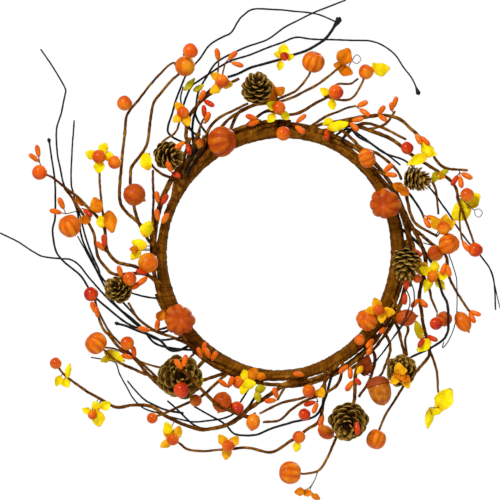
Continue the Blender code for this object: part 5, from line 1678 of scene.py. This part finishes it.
@dataclass
class SprayMaker:
    """Makes the small berries, pips and petals, each on a wire from the nearest stem."""

    stems: StemMaker
    ornaments: OrnamentMaker
    pip_radius: float = 2.65
    pip_half: float = 5.9  # mm from a pip's middle to its tip
    wire: float = 0.5  # radius of the wire of a pip or a petal
    cloth: float = 0.45  # mm of cloth. The real one is 0.3 mm
    petal_rows: int = 13
    petal_columns: int = 22
    lifts: tuple = (-0.12, 0.2)  # radians that a petal's tip is lifted to the front, at least and at most
    fold: float = 0.2  # depth of a petal's fold over its width
    bow: float = 0.1  # how far its ends are bent over its length
    crumple: float = 0.07  # height of its crumples over its width
    grown: float = 1.14  # the tables give what shows of a petal, which its neighbours cover in part

    def seat(self, x: float, z: float, forward: float | None, body: str, gap: float) -> tuple[Vector, Vector]:
        """Where a small piece goes and where its wire starts.

        Args:
            x: Millimetres to the right.
            z: Millimetres up.
            forward: Millimetres to the front, or None for gap in front of the nearest stem.
            body: The body whose stems may hold it.
            gap: Millimetres in front of the stem.

        Returns:
            The start on the stem and the piece's middle.
        """
        start = self.stems.nearest(x, z, body)
        if forward is None:
            forward = -start.y + gap
        return start, self.stems.ring.hang(x, z, forward)

    def fruit(self, one: Fruit) -> None:
        """Builds one small berry with its wire.

        Args:
            one: The berry.
        """
        start, middle = self.seat(one.x, one.z, one.forward, one.body, one.width / 2 + 1)
        pull = middle - start
        axis = pull.normalized() if pull.length > 1 else Vector((0, -1, 0))
        axis = Vector((axis.x, min(axis.y, -0.35), axis.z)).normalized()
        if one.clock is not None:
            angle = math.radians(one.clock)
            axis = Vector((math.sin(angle), -0.2, math.cos(angle))).normalized()
        clock = math.degrees(math.atan2(axis.x, axis.z))
        lift = math.degrees(math.asin(max(-1, min(1, -axis.y))))
        shape = Ornament(one.name, "", one.width, one.height or one.width, one.x, one.z,
                         -(middle.y), clock, lift)
        draft = Draft()
        self.ornaments.place = middle
        self.ornaments.ball(draft, shape, 28)
        self.stems.spur(draft, start, middle - axis * (shape.height / 2 - 0.5), 0.7, slot=1)
        paint = {Tone.RED: CRIMSON_LACQUER, Tone.RUST: RUST_PAINT}.get(one.tone, BERRY_LACQUER)
        draft.piece(one.name, [paint, TWIG_TAPE], one.body)

    def pip(self, draft: Draft, start: Vector, middle: Vector, slot: int, seed: int) -> None:
        """Adds one teardrop pip, fatter towards its tip, with its red sprayed end.

        Args:
            draft: The mesh that it's added to.
            start: Where its wire starts.
            middle: Its centre.
            slot: Which of the piece's materials it has.
            seed: A steady seed for its irregularities.
        """
        pull = middle - start
        half = min(self.pip_half, max(pull.length * 0.92, 4.4))
        axis = pull.normalized()
        share = 0.5 - 0.5 * np.cos(math.pi * np.linspace(0, 1, 17))
        radius = self.pip_radius * np.sqrt(1 - np.abs(2 * share - 1) ** 2.5) * (0.84 + 0.2 * share)
        radius = np.maximum(radius, 0.03)
        height = -half + 2 * half * share
        rng = np.random.default_rng(seed)
        blush = np.clip(rng.uniform(0.2, 1.0) * (share * 1.3 - 0.5), 0, 0.8)[:, None] + np.zeros((1, 12))
        draft.turned(np.stack([radius * rng.uniform(0.92, 1.06), height], -1), middle, axis, 12,
                     worn=0.3 + 0.4 * share[:, None] + 0 * blush, blush=blush, slot=slot)

    def pips(self, group: Pips) -> None:
        """Builds a group of pips with their wires.

        Args:
            group: The pips and their body.
        """
        draft = Draft()
        for index, (base_x, base_z, x, z, tone, forward) in enumerate(group.pips):
            start = self.stems.nearest(base_x, base_z, group.body)
            front = -start.y + 3.0 if forward is None else forward
            middle = self.stems.ring.hang(x, z, front)
            root = self.stems.ring.hang(base_x, base_z, max(-start.y, front - 3.5))
            self.stems.spur(draft, start, root, self.wire, slot=2)
            self.pip(draft, root, middle, 1 if tone is Tone.RED else 0, seed_of(group.name) + index)
            self.stems.spur(draft, root, root + (middle - root) * 0.5, self.wire, slot=2)
        draft.piece(group.name, [PIP_LACQUER, RED_PIP_LACQUER, TWIG_TAPE], group.body)

    def petal(self, draft: Draft, middle: Vector, length: float, width: float, clock: float, point: float,
              seed: int) -> None:
        """Adds one crumpled petal of stiffened cloth, pinched where its wire grips it.

        Args:
            draft: The mesh that it's added to.
            middle: Its centre.
            length: From its wire to its tip.
            width: Across it.
            clock: The clock angle that it points to.
            point: 0 for a round tip, 1 for a pointed one.
            seed: A steady seed for its irregularities.
        """
        rng = np.random.default_rng(seed)
        angle = math.radians(clock)
        lift = rng.uniform(*self.lifts)
        along = Vector((math.sin(angle) * math.cos(lift), -math.sin(lift), math.cos(angle) * math.cos(lift)))
        across = along.cross(Vector((0, -1, 0))).normalized()
        across = (across + Vector((0, rng.uniform(-0.3, 0.3), 0))).normalized()
        up = across.cross(along).normalized()
        share = np.linspace(0, 1, self.petal_rows)[:, None]
        rounded = 0.16 + 0.84 * np.sin(math.pi * share**0.85 * 0.94) ** 0.75
        pointed = 0.1 + 0.9 * np.sin(math.pi * share**0.72) ** 1.25
        spread = width / 2 * ((1 - point) * rounded + point * pointed)
        turn = np.arange(self.petal_columns) * ROUND / self.petal_columns
        flat = np.cos(turn)[None, :]
        edge = 1 + 0.05 * np.sin(share * 11 + rng.uniform(0, 6)) * np.sign(flat) * np.abs(flat)
        wide = spread * flat * edge
        reach = (share - 0.5) * length * (1 - 0.12 * flat**2 * (share > 0.6))
        bent = self.fold * width * flat**2 * np.sin(math.pi * share) * rng.choice((-1, 1))
        bent = bent + self.bow * length * (share - 0.5) ** 2
        plane = np.stack(np.broadcast_arrays(wide, reach, 0 * wide), -1)
        crumple = self.crumple * width * ripple(plane, width * 1.3, seed)
        crumple = crumple + 0.015 * width * ripple(plane, 4, seed + 1)
        lie = bent + crumple + np.sin(turn)[None, :] * self.cloth / 2
        sections = (np.array(middle) + wide[..., None] * np.array(across)
                    + reach[..., None] * np.array(along) + lie[..., None] * np.array(up))
        worn = 0.45 + 0.35 * ripple(plane, 6, seed + 2)
        # Darker orange at the base, the dye where the wire grips; darker in the crumples' dips, as painted shade.
        blush = np.clip(0.85 - share * 2.4, 0, 1) * 0.8 + np.clip(-crumple / width * 3, 0, 0.4)
        draft.loft(sections, worn, blush)

    def petals(self, group: Petals) -> None:
        """Builds a group of petals of one dye with their wires.

        Args:
            group: The petals, their dye and their body.
        """
        draft = Draft()
        for index, (x, z, length, width, clock, forward) in enumerate(group.petals):
            _, middle = self.seat(x, z, forward, group.body, 4.0)
            angle = math.radians(clock)
            foot = middle - Vector((math.sin(angle), -0.12, math.cos(angle))) * length * 0.46
            self.petal(draft, middle, length * self.grown, width * self.grown, clock, group.point,
                       seed_of(group.name) + 7 * index)
            root = self.stems.nearest(foot.x, (foot - self.stems.ring.centre).z, group.body)
            self.stems.spur(draft, root, foot, self.wire, slot=1)
        draft.piece(group.name, [PETAL_CLOTH[group.tone], TWIG_TAPE], group.body)


# ---------------------------------------------------------------- the room


@dataclass
class Studio:
    """A white room with a pale floor, soft lamps, and a long lens straight in front."""

    ring: TapedRing
    aim_x: float = -27.9  # mm from the hoop's centre to the middle of the view
    aim_z: float = 3.6
    view: float = 450.0  # mm across the view at the wreath
    lens: float = 300.0
    sensor: float = 36.0
    floor_drop: float = 352.0  # mm from the hoop's centre down to the floor
    floor_radius: float = 900.0
    floor_sides: int = 96
    room_light: float = 0.45  # what the white walls give back, next to how bright they look
    lamps: tuple = (  # name, place in m, size in m, power in W
        ("key_lamp", (-0.9, -1.5, 1.2), 0.45, 36),
        ("fill_lamp", (1.2, -1.4, 0.2), 1.2, 5),
        ("back_lamp", (0.8, 1.6, 0.8), 1.0, 20),
    )

    def lamp(self, name: str, place: tuple[float, float, float], size: float, power: float,
             aim: Vector) -> None:
        """Adds one soft square lamp that faces the wreath.

        Args:
            name: Its name.
            place: Where it is, in metres.
            size: Its side, in metres.
            power: Watts.
            aim: The place that it faces.
        """
        data = bpy.data.lights.new(name, "AREA")
        data.energy, data.size, data.shape = power, size, "SQUARE"
        thing = bpy.data.objects.new(name, data)
        thing.location = place
        thing.rotation_mode = "QUATERNION"
        thing.rotation_quaternion = (Vector(place) - aim).to_track_quat("Z", "Y")
        bpy.context.scene.collection.objects.link(thing)

    def build(self) -> None:
        """Builds the world, the lamps, the floor and the camera."""
        scene = bpy.context.scene
        scene.view_settings.view_transform = "Standard"
        world = bpy.data.worlds.new("white_room")
        scene.world = world
        world.use_nodes = True
        tree = world.node_tree
        seen = add_node(tree, "LightPath").outputs["Is Camera Ray"]
        strength = add_node(tree, "MapRange", {0: seen, 3: self.room_light, 4: 1.0})
        tree.nodes["Background"].inputs["Color"].default_value = (1, 1, 1, 1)
        tree.links.new(strength.outputs[0], tree.nodes["Background"].inputs["Strength"])
        aim = self.ring.hang(self.aim_x, self.aim_z, 0) * MM
        for lamp in self.lamps:
            self.lamp(*lamp, aim)
        floor = bpy.data.meshes.new("floor")
        drop = self.ring.centre.z - self.floor_drop
        rim = [(self.floor_radius * math.cos(a) * MM, self.floor_radius * math.sin(a) * MM, drop * MM)
               for a in np.arange(self.floor_sides) * ROUND / self.floor_sides]
        floor.from_pydata(rim, [], [tuple(range(self.floor_sides))])
        floor.materials.append(FLOOR_PAINT.material())
        floor_piece = bpy.data.objects.new("floor", floor)
        scene.collection.objects.link(floor_piece)
        camera = bpy.data.cameras.new("camera")
        camera.lens, camera.sensor_width = self.lens, self.sensor
        camera.clip_end = 20
        distance = self.view * MM * self.lens / self.sensor
        eye = bpy.data.objects.new("camera", camera)
        eye.location = aim + Vector((0, -distance, 0))
        eye.rotation_euler = (math.pi / 2, 0, 0)
        scene.collection.objects.link(eye)
        scene.camera = eye


def ring_strands(ring: TapedRing, stems: StemMaker) -> None:
    """Builds the stem ends that lie along the ring, as one piece.

    Args:
        ring: The taped ring that they lie along.
        stems: The maker that keeps their lines.
    """
    draft = Draft()
    for index, (start, end, near, far, forward, radius) in enumerate(RING_STRANDS):
        count = 12
        points = []
        for step in range(count + 1):
            share = step / count
            out = near + (far - near) * share + 1.2 * math.sin(5 * share + index)
            if step == 0:
                out -= 3.0
            points.append(ring.point(start + (end - start) * share, out, forward * (1 - 0.3 * share)))
        path = curve_through(points, stems.step)
        thick = np.linspace(radius, radius * 0.75, len(path))
        stems.skin(draft, path, thick, 100 + index, Bark.TWIG)
        stems.runs.setdefault(WREATH, []).append(path)
    draft.piece("stem_ends_along_ring", [TWIG_TAPE], WREATH)


def main() -> None:
    """Builds the wreath's pieces in order, then the room."""
    logging.basicConfig(level=logging.INFO, format="%(name)s: %(message)s", stream=sys.stdout)
    ring = TapedRing()
    ring.build()
    ornaments = OrnamentMaker(ring)
    pegs = {}
    for one in ORNAMENTS:
        ornaments.build(one)
        axis = one.axis()
        pegs[one.name] = (one.centre(ring) - axis * one.height / 2, axis)
    stems = StemMaker(ring)
    for stem in STEMS:
        stems.build(stem, pegs, stem.name)
    ring_strands(ring, stems)
    for bundle in BUNDLES:
        strands = [Stem(f"{bundle.name}_{index}", bundle.bark, root, tip, route, body=bundle.body, knob=knob)
                   for index, (root, tip, knob, route) in enumerate(bundle.strands)]
        stems.build_group(bundle.name, strands)
    sprays = SprayMaker(stems, ornaments)
    for fruit in FRUIT:
        sprays.fruit(fruit)
    for pips in PIPS:
        sprays.pips(pips)
    for petals in PETALS:
        sprays.petals(petals)
    Studio(ring).build()


if __name__ == "__main__":
    main()
